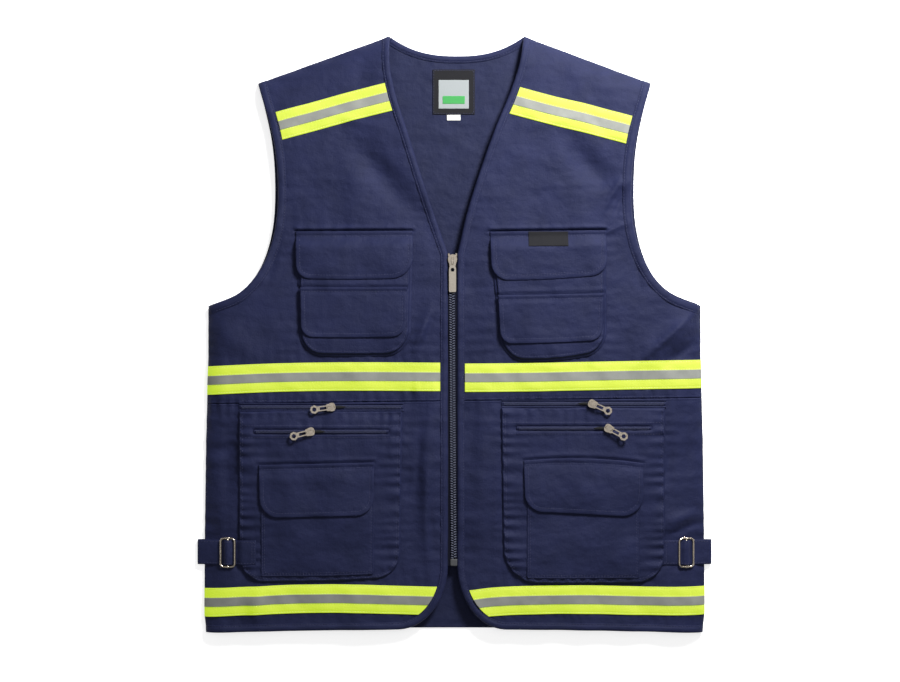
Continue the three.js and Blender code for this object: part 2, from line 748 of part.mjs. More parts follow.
// Zip slider: a rounded plate with a bridge on top, its pull's hinge axis through the origin
// along X and the pull lying towards -Y.
const HINGE_RISE = SLIDER_THICKNESS + PULL_CLEARANCE + PULL_THICKNESS / 2;
function slider(length, width, tip) {
  const shape = new THREE.Shape();
  const half = length / 2;
  const corner = METAL_CORNER;
  shape.moveTo(-tip / 2, -half + corner);
  shape.quadraticCurveTo(-tip / 2, -half, -tip / 2 + corner, -half);
  shape.lineTo(tip / 2 - corner, -half);
  shape.quadraticCurveTo(tip / 2, -half, tip / 2, -half + corner);
  shape.bezierCurveTo(tip / 2, -half / 4, width / 2, -half / 4, width / 2, half / 4);
  shape.quadraticCurveTo(width / 2, half, 0, half);
  shape.quadraticCurveTo(-width / 2, half, -width / 2, half / 4);
  shape.bezierCurveTo(-width / 2, -half / 4, -tip / 2, -half / 4, -tip / 2, -half + corner);
  const plate = extruded(shape, SLIDER_THICKNESS, -HINGE_RISE);
  const foot = -HINGE_RISE + SLIDER_THICKNESS / 2;
  const inside = PULL_THICKNESS / 2 + PULL_CLEARANCE;
  const top = inside + BRIDGE_BAR;
  const end = BRIDGE_LENGTH / 2;
  const arch = new THREE.Shape(
    points([
      [-end, foot],
      [-end + BRIDGE_BAR, foot],
      [-end + BRIDGE_BAR, inside],
      [end - BRIDGE_BAR, inside],
      [end - BRIDGE_BAR, foot],
      [end, foot],
      [end, top - BRIDGE_BAR / 2],
      [end - BRIDGE_BAR / 2, top],
      [-end + BRIDGE_BAR / 2, top],
      [-end, top - BRIDGE_BAR / 2],
    ]),
  );
  const bridge = new THREE.ExtrudeGeometry(arch, { depth: BRIDGE_WIDTH, bevelEnabled: false });
  bridge.translate(0, 0, -BRIDGE_WIDTH / 2);
  bridge.applyMatrix4(
    new THREE.Matrix4().makeBasis(
      new THREE.Vector3(0, 1, 0),
      new THREE.Vector3(0, 0, 1),
      new THREE.Vector3(1, 0, 0),
    ),
  );
  return plate.add(solidOf(bridge));
}

// Pull: a plate with a slot round the slider's bridge, its crossbar on the hinge axis.
const SLOT_HALF = BRIDGE_WIDTH / 2 + PULL_CLEARANCE;
const NECK_HALF = SLOT_HALF + PULL_SIDE_WALL;
const BAR_HALF = PULL_THICKNESS / 2;
const SLOT_END = BRIDGE_LENGTH / 2 + 2 * PULL_CLEARANCE;
const NECK_END = SLOT_END + PULL_SIDE_WALL;
function slotHole(end) {
  return new THREE.Path(
    points([
      [-SLOT_HALF, -BAR_HALF],
      [-SLOT_HALF, -end],
      [SLOT_HALF, -end],
      [SLOT_HALF, -BAR_HALF],
    ]),
  );
}

function roundHole(y, radius) {
  const hole = new THREE.Path();
  hole.absarc(0, y, radius, 0, 2 * Math.PI, true);
  return hole;
}

function pocketPull() {
  const join = Math.sqrt(POCKET_EYE_RADIUS ** 2 - NECK_HALF ** 2);
  const turn = Math.atan2(join, NECK_HALF);
  const shape = new THREE.Shape();
  shape.moveTo(NECK_HALF, BAR_HALF);
  shape.lineTo(-NECK_HALF, BAR_HALF);
  shape.lineTo(-NECK_HALF, -POCKET_PULL_REACH + join);
  shape.absarc(0, -POCKET_PULL_REACH, POCKET_EYE_RADIUS, Math.PI - turn, 2 * Math.PI + turn, false);
  shape.holes.push(slotHole(POCKET_PULL_REACH - POCKET_EYE_RADIUS - PULL_SIDE_WALL));
  shape.holes.push(roundHole(-POCKET_PULL_REACH, POCKET_EYE_HOLE));
  return extruded(shape, PULL_THICKNESS, -PULL_THICKNESS / 2);
}

function mainPull() {
  const half = MAIN_PULL_WIDTH / 2;
  const eye = NECK_END + MAIN_EYE_RADIUS;
  const neck = eye + MAIN_SHOULDER_DROP;
  const corner = half / 3;
  const end = -MAIN_PULL_LENGTH;
  const shape = new THREE.Shape();
  shape.moveTo(NECK_HALF, BAR_HALF);
  shape.lineTo(-NECK_HALF, BAR_HALF);
  shape.lineTo(-NECK_HALF, -NECK_END);
  shape.quadraticCurveTo(-MAIN_EYE_RADIUS, -NECK_END - METAL_CORNER, -MAIN_EYE_RADIUS, -eye);
  shape.quadraticCurveTo(-MAIN_EYE_RADIUS, -neck, -half, -neck);
  shape.lineTo(-half, end + corner);
  shape.quadraticCurveTo(-half, end, -half + corner, end);
  shape.lineTo(half - corner, end);
  shape.quadraticCurveTo(half, end, half, end + corner);
  shape.lineTo(half, -neck);
  shape.quadraticCurveTo(MAIN_EYE_RADIUS, -neck, MAIN_EYE_RADIUS, -eye);
  shape.quadraticCurveTo(MAIN_EYE_RADIUS, -NECK_END - METAL_CORNER, NECK_HALF, -NECK_END);
  shape.holes.push(slotHole(SLOT_END));
  shape.holes.push(roundHole(-eye, MAIN_EYE_HOLE));
  return extruded(shape, PULL_THICKNESS, -PULL_THICKNESS / 2);
}

// Puts a slider and its pull on a zip whose top lies a given height above the fronts' underside.
function addZipHardware(name, body, pull, x, y, length, zipTop, turn) {
  const set = new THREE.Group();
  const lifted = highestUnder(x, y, length, length) + zipTop + GAP + HINGE_RISE;
  set.position.set(x, y, lifted);
  set.rotation.z = THREE.MathUtils.degToRad(turn + 90);
  set.add(toMesh(`${name}_slider`, body, MATERIALS.nickel));
  set.add(toMesh(`${name}_pull`, pull, MATERIALS.nickel));
  group.add(set);
}

// Main zip: a tape behind both front edges with the closed teeth standing on it.
const zipHalf = ZIP_CHAIN_WIDTH / 2;
const zipFoot = -GAP - CLOTH;
const chainBottom = ZIP_BOTTOM_HEIGHT + ZIP_BOX_LENGTH + EDGE_GAP;
const zipSpan = (half, bottom) =>
  stretch(ZIP_CENTRE - half, ZIP_CENTRE + half, bottom, V_HEIGHT, 0);
add(
  "main_zip_chain",
  layer(zipSpan(ZIP_TAPE_WIDTH / 2, ZIP_BOTTOM_HEIGHT), frontField, zipFoot, -GAP).add(
    layer(zipSpan(zipHalf, chainBottom), frontField, zipFoot, ZIP_CHAIN_RISE),
  ),
  MATERIALS.zip,
);
add(
  "main_zip_box",
  layer(
    stretch(
      ZIP_CENTRE - ZIP_BOX_WIDTH / 2,
      ZIP_CENTRE + ZIP_BOX_WIDTH / 2,
      ZIP_BOTTOM_HEIGHT,
      ZIP_BOTTOM_HEIGHT + ZIP_BOX_LENGTH,
      0,
    ),
    frontField,
    0,
    ZIP_CHAIN_RISE + GAP,
  ),
  MATERIALS.zip,
);
addZipHardware(
  "main_zip",
  slider(MAIN_SLIDER_LENGTH, MAIN_SLIDER_WIDTH, MAIN_SLIDER_TIP),
  mainPull(),
  ZIP_CENTRE,
  V_HEIGHT - MAIN_SLIDER_LENGTH / 2,
  MAIN_SLIDER_LENGTH,
  ZIP_CHAIN_RISE,
  -90,
);

// Chest pockets
const waistTapeTop = WAIST_TAPE_HEIGHT + TAPE_WIDTH / 2;
for (const { side } of SIDES) {
  const { x: share, space } = CHEST_POCKETS[side];
  const x = share * HALF_CHEST;
  const bottom = waistTapeTop + Math.abs(slopeAt(x)) + CHEST_POUCH_CLEARANCE;
  const top = bottom + CHEST_POUCH_HEIGHT;
  const mouth = top - FLAP_STITCH_WIDTH - MOUTH_CLEARANCE;
  const upperBottom = top - CHEST_FLAP_HEIGHT;
  const lowerTop = upperBottom - space * CHEST_FLAP_HEIGHT;
  const lowerBottom = bottom + CHEST_LOWER_FLAP_RISE;
  const onPouch = ON_CLOTH + CHEST_POUCH_DEPTH + GAP;
  add(
    `chest_pouch_${side}`,
    pouch(x, CHEST_POUCH_WIDTH, bottom, mouth, CHEST_POUCH_CORNER, ON_CLOTH, CHEST_POUCH_DEPTH),
    MATERIALS.twill,
  );
  add(
    `chest_flap_${side}`,
    flap(
      x,
      CHEST_FLAP_WIDTH,
      upperBottom,
      top,
      CHEST_FLAP_CORNER,
      ON_CLOTH,
      CHEST_POUCH_DEPTH,
    ),
    MATERIALS.twill,
  );
  add(
    `chest_lower_flap_${side}`,
    layer(
      pocketOutline(
        x,
        CHEST_LOWER_FLAP_WIDTH,
        lowerBottom,
        lowerTop,
        CHEST_LOWER_FLAP_CORNER,
      ),
      frontField,
      onPouch,
      onPouch + FLAP_THICKNESS,
    ),
    MATERIALS.twill,
  );
  if (side === "right") {
    add(
      "chest_label",
      layer(
        stretch(
          x - CHEST_LABEL_WIDTH / 2,
          x + CHEST_LABEL_WIDTH / 2,
          top - CHEST_LABEL_HEIGHT - GAP,
          top - GAP,
          0,
        ),
        frontField,
        onPouch + FLAP_THICKNESS + GAP,
        onPouch + FLAP_THICKNESS + GAP + LABEL_THICKNESS,
      ),
      MATERIALS.binding,
    );
  }
}

// Cargo pockets with their patch, flap and two zips
const hemTapeTop = HEM_TAPE_HEIGHT + TAPE_WIDTH / 2;
const cargoTop = ON_CLOTH + CARGO_DEPTH;
for (const { side } of SIDES) {
  const x = CARGO_POCKETS[side].x * HALF_CHEST;
  const seam = WAIST_SEAM_HEIGHT - EDGE_GAP + slopeAt(x);
  const top = seam - UPPER_ZIP_WIDTH - EDGE_GAP;
  const bottom = hemTapeTop + CARGO_CLEARANCE;
  const flapTop = top - PATCH_FLAP_DROP;
  const mouth = flapTop - FLAP_STITCH_WIDTH - MOUTH_CLEARANCE;
  const onPanel = cargoTop + GAP;
  const tray = layer(
    pocketOutline(x, CARGO_WIDTH, bottom, top, CARGO_CORNER),
    frontField,
    ON_CLOTH,
    cargoTop,
  ).subtract(
    layer(
      pocketOutline(
        x,
        CARGO_WIDTH - 2 * CLOTH,
        bottom + CLOTH,
        top - CLOTH,
        CARGO_CORNER - CLOTH,
      ),
      frontField,
      0,
      cargoTop - CLOTH,
    ),
  );
  add(`cargo_panel_${side}`, tray, MATERIALS.twill);
  add(
    `cargo_patch_${side}`,
    pouch(x, PATCH_WIDTH, bottom + PATCH_RISE, mouth, PATCH_CORNER, onPanel, PATCH_DEPTH),
    MATERIALS.twill,
  );
  add(
    `cargo_flap_${side}`,
    flap(
      x,
      PATCH_FLAP_WIDTH,
      flapTop - PATCH_FLAP_HEIGHT,
      flapTop,
      PATCH_FLAP_CORNER,
      onPanel,
      PATCH_DEPTH,
    ),
    MATERIALS.twill,
  );
  const zips = [
    {
      place: "upper",
      length: UPPER_ZIP_LENGTH,
      width: UPPER_ZIP_WIDTH,
      y: seam - UPPER_ZIP_WIDTH / 2,
      base: ON_CLOTH,
      rise: CARGO_DEPTH - CLOTH,
    },
    {
      place: "lower",
      length: LOWER_ZIP_LENGTH,
      width: LOWER_ZIP_WIDTH,
      y: top - LOWER_ZIP_DROP,
      base: onPanel,
      rise: POCKET_COIL_THICKNESS,
    },
  ];
  for (const { place, length, width, y, base, rise } of zips) {
    const { slide, turn } = ZIP_ROWS[place][side];
    add(
      `${place}_zip_${side}`,
      layer(
        stretch(x - length / 2, x + length / 2, y - width / 2, y + width / 2, 0),
        frontField,
        base,
        base + rise,
      ),
      MATERIALS.zip,
    );
    addZipHardware(
      `${place}_zip_${side}`,
      slider(POCKET_SLIDER_LENGTH, POCKET_SLIDER_WIDTH, POCKET_SLIDER_TIP),
      pocketPull(),
      x + slide * length,
      y,
      POCKET_SLIDER_LENGTH,
      Math.max(base + rise, cargoTop),
      turn,
    );
  }
}

// Wire buckle: a closed round-cornered ring with a bar across its middle, lying in the plane
// through its two outer bars.
function buckle() {
  const halfX = (BUCKLE_WIDTH - BUCKLE_WIRE) / 2;
  const halfY = (BUCKLE_HEIGHT - BUCKLE_WIRE) / 2;
  const corner = BUCKLE_CORNER;
  const ring = new THREE.Shape();
  ring.moveTo(halfX, -halfY + corner);
  ring.lineTo(halfX, halfY - corner);
  ring.absarc(halfX - corner, halfY - corner, corner, 0, Math.PI / 2, false);
  ring.absarc(-halfX + corner, halfY - corner, corner, Math.PI / 2, Math.PI, false);
  ring.absarc(-halfX + corner, -halfY + corner, corner, Math.PI, 1.5 * Math.PI, false);
  ring.absarc(halfX - corner, -halfY + corner, corner, 1.5 * Math.PI, 2 * Math.PI, false);
  const centre = ring.getPoints(2).filter((p, k, all) => k === 0 || p.distanceTo(all[k - 1]) > 0.01);
  if (centre[0].distanceTo(centre.at(-1)) < 0.01) centre.pop();
  const count = centre.length;
  const sides = WIRE_SIDES;
  const vertices = [];
  const triangles = [];
  centre.forEach((p, k) => {
    const before = centre[(k + count - 1) % count];
    const after = centre[(k + 1) % count];
    const along = after.clone().sub(before).normalize();
    for (let s = 0; s < sides; s += 1) {
      const turn = (2 * Math.PI * s) / sides;
      const out = (Math.cos(turn) * BUCKLE_WIRE) / 2;
      vertices.push(p.x + along.y * out, p.y - along.x * out, (Math.sin(turn) * BUCKLE_WIRE) / 2);
      const a = k * sides + s;
      const b = k * sides + ((s + 1) % sides);
      const c = ((k + 1) % count) * sides + ((s + 1) % sides);
      const d = ((k + 1) % count) * sides + s;
      triangles.push(a, c, b, a, d, c);
    }
  });
  const wire = toSolid(vertices, triangles);
  const radius = BUCKLE_WIRE / 2;
  const bar = solidOf(new THREE.CylinderGeometry(radius, radius, 2 * halfY, BAR_SIDES));
  return wire.add(bar);
}

// Side strap: from its stitched end on the cargo pocket, under the buckle's outer bars and over
// its middle bar, round the side seam and back under the vest.
for (const { side, sign } of SIDES) {
  const seam = sideReach(STRAP_HEIGHT);
  const cargoEdge = Math.abs(CARGO_POCKETS[side].x) * HALF_CHEST + CARGO_WIDTH / 2;
  const middle = seam - (seam - cargoEdge) * CARGO_POCKETS[side].buckle;
  const barReach = (BUCKLE_WIDTH - BUCKLE_WIRE) / 2;
  const half = STRAP_THICKNESS / 2;
  const crest = BUCKLE_WIRE * STRAP_CREST;
  const under = (reach) => highestUnder(sign * reach, STRAP_HEIGHT, 0, BUCKLE_HEIGHT);
  const onFront = (reach) => under(reach) + ON_CLOTH + half;
  const onPocket = (reach) => under(reach) + cargoTop + GAP + half;
  const wireAt = (reach) => onFront(reach) + half + GAP + BUCKLE_WIRE / 2;
  const inner = { reach: middle - barReach, height: wireAt(middle - barReach) };
  const outer = { reach: middle + barReach, height: wireAt(middle + barReach) };
  const barHeight = (inner.height + outer.height) / 2;
  const overBar = barHeight + BUCKLE_WIRE / 2 + GAP + half;
  const route = [];
  const firstReach = cargoEdge - STRAP_OVERLAP;
  for (const reach of [firstReach, (firstReach + cargoEdge) / 2, cargoEdge + 2 * half]) {
    route.push([reach, onPocket(reach)]);
  }
  route.push([inner.reach - BUCKLE_WIRE, onFront(inner.reach - BUCKLE_WIRE)]);
  route.push([inner.reach + BUCKLE_WIRE / 2, onFront(inner.reach + BUCKLE_WIRE / 2)]);
  route.push([middle - crest, overBar]);
  route.push([middle + crest, overBar]);
  route.push([outer.reach - BUCKLE_WIRE / 2, onFront(outer.reach - BUCKLE_WIRE / 2)]);
  route.push([outer.reach + BUCKLE_WIRE, onFront(outer.reach + BUCKLE_WIRE)]);
  const sideTop = onFront(seam) + GAP;
  const radius = (sideTop - half) / 2;
  const bend = seam + STRAP_OVERHANG - half - radius;
  for (let k = 0; k <= STRAP_STEPS; k += 1) {
    const turn = Math.PI / 2 - (k * Math.PI) / STRAP_STEPS;
    route.push([bend + radius * Math.cos(turn), half + radius + radius * Math.sin(turn)]);
  }
  route.push([seam - STRAP_BACK_LENGTH, half]);
  const path = points(route);
  const profile = [...offsetPath(path, half), ...offsetPath(path, -half).reverse()];
  const strap = new THREE.ExtrudeGeometry(new THREE.Shape(profile), {
    depth: STRAP_WIDTH,
    bevelEnabled: false,
  });
  strap.translate(0, 0, -STRAP_WIDTH / 2);
  strap.applyMatrix4(
    new THREE.Matrix4().makeBasis(
      new THREE.Vector3(sign, 0, 0),
      new THREE.Vector3(0, 0, 1),
      new THREE.Vector3(0, -sign, 0),
    ),
  );
  strap.translate(0, STRAP_HEIGHT, 0);
  add(`side_strap_${side}`, solidOf(strap), MATERIALS.webbing);
  const ring = toMesh(`buckle_${side}`, buckle(), MATERIALS.nickel);
  ring.position.set(sign * middle, STRAP_HEIGHT, barHeight);
  ring.rotation.y = sign * Math.atan2(inner.height - outer.height, 2 * barReach);
  group.add(ring);
}

// Labels inside the back neck
const labelTop = BODY_LENGTH - LABEL_DROP;
const labelBottom = labelTop - LABEL_HEIGHT;
add(
  "neck_label",
  layer(
    stretch(LABEL_SHIFT - LABEL_WIDTH / 2, LABEL_SHIFT + LABEL_WIDTH / 2, labelBottom, labelTop, 0),
    backField,
    ON_CLOTH,
    ON_CLOTH + LABEL_THICKNESS,
  ),
  MATERIALS.label,
);
add(
  "size_tab",
  layer(
    stretch(
      LABEL_SHIFT - TAB_WIDTH / 2,
      LABEL_SHIFT + TAB_WIDTH / 2,
      labelBottom - EDGE_GAP - TAB_HEIGHT,
      labelBottom - EDGE_GAP,
      0,
    ),
    backField,
    ON_CLOTH,
    ON_CLOTH + LABEL_THICKNESS,
  ),
  MATERIALS.tab,
);

export default group;
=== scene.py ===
import json

import bmesh
import bpy
import numpy as np
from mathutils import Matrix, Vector

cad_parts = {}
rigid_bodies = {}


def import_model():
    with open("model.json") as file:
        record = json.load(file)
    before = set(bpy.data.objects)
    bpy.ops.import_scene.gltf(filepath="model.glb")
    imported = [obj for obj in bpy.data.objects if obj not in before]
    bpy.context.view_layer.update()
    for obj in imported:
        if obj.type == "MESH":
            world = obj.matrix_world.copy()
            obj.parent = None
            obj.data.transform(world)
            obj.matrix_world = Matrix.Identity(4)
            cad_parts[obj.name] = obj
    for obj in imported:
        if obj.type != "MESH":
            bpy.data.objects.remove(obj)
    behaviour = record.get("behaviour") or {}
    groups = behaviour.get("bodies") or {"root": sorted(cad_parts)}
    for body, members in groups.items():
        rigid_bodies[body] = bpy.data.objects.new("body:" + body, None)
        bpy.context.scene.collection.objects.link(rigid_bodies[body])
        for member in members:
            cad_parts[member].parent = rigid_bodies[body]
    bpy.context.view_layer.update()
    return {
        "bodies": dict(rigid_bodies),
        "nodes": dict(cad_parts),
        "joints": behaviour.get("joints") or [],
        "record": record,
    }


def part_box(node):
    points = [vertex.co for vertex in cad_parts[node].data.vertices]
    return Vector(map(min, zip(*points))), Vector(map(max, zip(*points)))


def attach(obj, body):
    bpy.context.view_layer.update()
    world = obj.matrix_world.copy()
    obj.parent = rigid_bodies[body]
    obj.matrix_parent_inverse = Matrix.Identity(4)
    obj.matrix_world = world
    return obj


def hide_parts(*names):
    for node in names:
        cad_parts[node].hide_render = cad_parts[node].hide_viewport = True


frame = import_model()
scene = bpy.context.scene

# %% [markdown]
# The driving sizes are the solids' own. A height is measured up from the hem. The loft is the air
# that keeps the front off the back, and the roll is the way over which the front comes down to a seam.
# %% Sizes of the vest
BODY_LENGTH = 747
HALF_CHEST = 312
ARMPIT = 408
TIP_REACH = 246
TIP_HEIGHT = 688
NECK_WIDTH = 169
NECK_SHIFT = 3
NECK_DIP = 24.5
V_HEIGHT = 473
HEM_SWEEP = 5
CORNER_WIDTH = 62
CORNER_HEIGHT = 80
ARMHOLE_CUT = 5
LOFT = 11
ROLL_WIDTH = 28
STRAP_ROLL = 70
CLOTH = 1.2
UNDER_BACK = 1.5
RAMP = (373.5, 450.6)
FRONT_BAND = 8.8
ARMHOLE_BAND = 10.5
NECK_BAND = 8.5
ZIP_CENTRE = -2.4
ZIP_OPENING = 12.4
TAPE_WIDTH = 35.5
SILVER_WIDTH = 11.2
WAIST_TAPE = 319.5
WAIST_SEAM = 290
WAIST_SLOPE = 0.0125
HEM_TAPE = 41
SHOULDER_TAPE = 687.5
SHOULDER_SLOPE = 0.266
STRAP_HEIGHT = 100.5
MM = 0.001
SIDES = {"left": -1, "right": 1}
print("vest", BODY_LENGTH, "long and", 2 * HALF_CHEST, "across")

# %% [markdown]
# Shapes that one size can't give: the side seam, the armhole and the V as rows of shares, and the
# folds of this vest as it lies. They are read from the garment, so each has only a few rows, and a
# smooth curve or a bell-shaped ridge fills in the rest.
# %% Rows and folds of this garment
# Height and reach, as shares, of the side seam and of the armhole
SIDE_ROWS = np.array([(0, 0.997), (0.05, 1.005), (0.25, 1.005), (0.59, 0.999), (0.84, 0.99), (1, 0.99)])
ARMHOLE_ROWS = [(0, 0), (0.06, 0.63), (0.175, 1.04), (0.335, 1.27), (0.525, 1.33), (0.745, 1.26), (1, 1)]

# Height and way out to the neck point, as shares, of each side of the V
V_ROWS = {
    "left": [(0, 0), (0.18, 0.24), (0.36, 0.46), (0.57, 0.71), (0.74, 0.91), (0.87, 1), (1, 1)],
    "right": [(0, 0), (0.18, 0.14), (0.36, 0.32), (0.57, 0.56), (0.74, 0.79), (0.87, 0.93), (1, 1)],
}

# Folds of both fronts: x, y, turn of the ridge in degrees, half length, half width, height
FOLDS = [
    (-90.5, 572, -48, 56, 16.4, -3.9),
    (171.6, 581, -46, 45, 15, -3.3),
    (200, 556, 20, 22, 9, 2.2),
    (274.6, 373.5, 40, 41, 13.4, 3.9),
    (-37.4, 384.7, 60, 30, 11.2, 2.8),
    (-31.2, 201.7, 90, 120, 15, 2.4),
    (34.3, 186.8, 88, 105, 13.4, 2.2),
    (-246.5, 41, 80, 26, 11.2, 2.8),
    (287, 144, 22, 30, 8, 2.4),
    (288, 130, 22, 24, 3.6, -1.8),
    (-274.6, 366, -40, 37, 13.4, 1.2),
    (197, 548, 62, 24, 3.2, 1.1),
    (206, 536, 70, 20, 3, -0.9),
    (200, 505, 25, 14, 3.4, 0.9),
    (268, 372, 41, 44, 4, 1.6),
    (287, 352, 38, 26, 5, -1.3),
    (-42, 372, 68, 24, 3.4, 1.2),
    (-30, 385, 74, 22, 3, -1),
    (-47, 305, 88, 12, 4, 0.9),
    (-25, 304, 92, 12, 3.6, 0.8),
    (-36, 150, 92, 60, 4.5, 1.3),
    (-45, 215, 86, 48, 5, -1.2),
    (-58, 192, 78, 16, 5, -1.2),
    (-33, 188, 88, 22, 3.4, 1.3),
    (-29, 128, 96, 24, 4, -1),
    (-296, 228, 6, 20, 7, -1.5),
    (-62, 297, 84, 9, 3.4, 0.9),
    (268, 210, 82, 26, 5, -1.1),
    (52, 160, 89, 66, 4, 0.8),
    (-283, 205, 84, 62, 11, -1.6),
    (-292, 140, 88, 30, 8, 1.2),
    (292, 226, 90, 50, 9, -1.4),
    (-150, 566, -4, 60, 3.6, 0.5),
    (150, 560, 3, 56, 3.4, 0.5),
    (-226, 470, 78, 30, 5, -1),
    (228, 452, 100, 34, 5, -1),
    (-120, 640, -14, 34, 5, 0.8),
    (128, 640, 12, 30, 5, 0.7),
]

# Creases of the back where it shows in the neck
BACK_CREASES = [
    (0, 578, 2, 60, 4, 0.7),
    (4, 553, -2, 46, 3.6, 0.6),
    (-8, 520, 4, 30, 4, -0.5),
    (10, 610, -30, 26, 5, 0.5),
]
print("folds", len(FOLDS), "creases", len(BACK_CREASES))

# %% [markdown]
# Every form below comes from four small functions: a smooth step, a curve through a few rows, noise
# on a lattice for the unevenness that no cloth is without, and a ridge for one fold.
# %% Steps, curves, noise and ridges


def smooth(share):
    """Smooth step from 0 to 1: three times the square less twice the cube."""
    share = np.clip(share, 0, 1)
    return share * share * (3 - 2 * share)


def spline(rows, steps):
    """Catmull-Rom curve through rows of (x, y), whose first and last rows count twice."""
    rows = np.asarray(rows, float)
    held = np.vstack([rows[:1], rows, rows[-1:]])
    along = np.linspace(0, len(rows) - 1, steps + 1)
    start = np.minimum(along.astype(int), len(rows) - 2)
    t = (along - start)[:, None]
    before, low, high, after = (held[start + k] for k in range(4))
    leave, reach = (high - before) / 2, (after - low) / 2
    cubic = 2 * low - 2 * high + leave + reach
    square = -3 * low + 3 * high - 2 * leave - reach
    return ((cubic * t + square) * t + leave) * t + low


def noise(x, y, size, seed):
    """Value noise from -1 to 1: seeded random numbers on a lattice of a size in mm, blended smoothly."""
    table = np.random.default_rng(seed).uniform(-1, 1, (64, 64))
    u, v = x / size + 1000.3, y / size + 1000.7
    i, j = np.floor(u).astype(int), np.floor(v).astype(int)
    s, t = smooth(u - i), smooth(v - j)
    low = table[i % 64, j % 64] * (1 - s) + table[(i + 1) % 64, j % 64] * s
    high = table[i % 64, (j + 1) % 64] * (1 - s) + table[(i + 1) % 64, (j + 1) % 64] * s
    return low * (1 - t) + high * t


def ridges(x, y, rows):
    """Sum of ridges: each is a bell curve along its turn times a narrower one across it."""
    total = np.zeros(np.shape(x))
    for centre_x, centre_y, turn, length, width, height in rows:
        c, s = np.cos(np.radians(turn)), np.sin(np.radians(turn))
        dx, dy = x - centre_x, y - centre_y
        along, beside = (dx * c + dy * s) / length, (dy * c - dx * s) / width
        total = total + height * np.exp(-(along**2) - beside**2)
    return total


print("step at a quarter", round(float(smooth(0.25)), 3))

# %% [markdown]
# The outline comes first, in plan. A reach is a distance from the middle, on either side. The
# armholes of the fronts are cut a little deeper than those of the back, so a sliver of it shows.
# %% Outline in plan


def side_reach(y):
    """Reach of the side seam: half the chest times a share that changes with height."""
    return HALF_CHEST * np.interp(np.asarray(y) / ARMPIT, SIDE_ROWS[:, 0], SIDE_ROWS[:, 1])


def armhole(cut, steps=120):
    """Armhole from the armpit to the shoulder tip as (reach, y), cut deeper in the middle."""
    seam = float(side_reach(ARMPIT))
    rows = [
        (seam + (TIP_REACH - seam) * reach - cut * np.sin(np.pi * up), ARMPIT + (TIP_HEIGHT - ARMPIT) * up)
        for up, reach in ARMHOLE_ROWS
    ]
    return spline(rows, steps)


FRONT_ARMHOLE = armhole(ARMHOLE_CUT)
BACK_ARMHOLE = armhole(0)


def outer_reach(y, hole):
    """Reach of the side seam below the armpit and of the armhole above it."""
    return np.where(y < ARMPIT, side_reach(y), np.interp(y, hole[:, 1], hole[:, 0]))


def zip_edge(side):
    """x of a front's straight edge, beside the zip."""
    return ZIP_CENTRE + SIDES[side] * ZIP_OPENING / 2


def hem_height(x):
    """Height of the hem: a shallow parabola, lowest at the sides."""
    return HEM_SWEEP * (1 - (np.asarray(x) / HALF_CHEST) ** 2)


def front_edge(side, steps=120):
    """Front edge as points: down the V, down beside the zip and round the lower corner."""
    sign, edge = SIDES[side], zip_edge(side)
    neck = NECK_SHIFT + sign * NECK_WIDTH / 2
    rise = BODY_LENGTH - V_HEIGHT
    rows = [(edge + (neck - edge) * out, V_HEIGHT + rise * up) for up, out in V_ROWS[side]]
    vee = spline(rows, steps)[::-1]
    turn = np.linspace(0, np.pi / 2, 24)
    x = edge + sign * CORNER_WIDTH * (1 - np.cos(turn))
    corner = np.column_stack([x, hem_height(x) + CORNER_HEIGHT * (1 - np.sin(turn))])
    straight = np.column_stack([np.full(40, edge), np.linspace(V_HEIGHT, corner[0, 1], 42)[1:-1]])
    return np.vstack([vee, straight, corner])


FRONT_EDGE = {side: front_edge(side) for side in SIDES}


def across(path, y):
    """x of a path at heights y, for a path whose height only falls or only rises."""
    order = np.argsort(path[:, 1], kind="stable")
    return np.interp(y, path[order, 1], path[order, 0])


print("front edge points", len(FRONT_EDGE["left"]))

# %% [markdown]
# Then the heights. The real vest rests on its back, and the air inside holds the fronts up. Where
# front and back are joined, the front comes down in a round roll, which the straps press wider.
# %% How high the cloth lies


def back_ground(x, y):
    """Height of the back's underside: straps and tapes lift its lower part."""
    ramp = np.clip((RAMP[1] - y) / (RAMP[1] - RAMP[0]), 0, 1)
    return UNDER_BACK * ramp + 0 * x


def join_distance(x, y):
    """Distance from the nearest line where front and back are joined."""
    reach = np.abs(x)
    inside = np.maximum(0, side_reach(np.minimum(y, ARMPIT)) - reach)
    seam = np.hypot(inside, np.maximum(0, y - ARMPIT))
    run, drop = TIP_REACH - NECK_WIDTH / 2, BODY_LENGTH - TIP_HEIGHT
    below = (BODY_LENGTH - (reach - NECK_WIDTH / 2) * drop / run - y) * run / np.hypot(run, drop)
    return np.clip(np.minimum(seam, below), 0, None)


def ground(x, y):
    """Height of the fronts' underside: a round roll up from the joined edges, wider where the straps
    press it down, with folds and soft waves."""
    pressed = np.exp(-(((y - STRAP_HEIGHT) / 42) ** 2))
    share = np.minimum(1, join_distance(x, y) / (ROLL_WIDTH + (STRAP_ROLL - ROLL_WIDTH) * pressed))
    roll = (1 - (1 - share) ** 2) ** (0.72 + 0.28 * pressed)
    waves = 2.0 * noise(x, y, 95, 3) + 1.5 * noise(x * 1.5, y, 42, 4) + 0.3 * noise(x, y, 17, 5)
    return back_ground(x, y) + CLOTH + 0.3 + roll * (LOFT + 1.8 * ridges(x, y, FOLDS) + waves)


lying_heights = [round(float(ground(at, 300.0)), 2) for at in (0.0, 300.0)]
print("front height in the middle and near the side", lying_heights)

# %% [markdown]
# Every piece is made by a few builders: a wall between two grids, a slab with a rolled rim, and a
# band that follows an edge. Each is closed, so it can be used alone. A Solidify modifier could give
# the thickness too, but here the under side has its own height, so that layers don't cut each other.
# %% Closed pieces between two grids


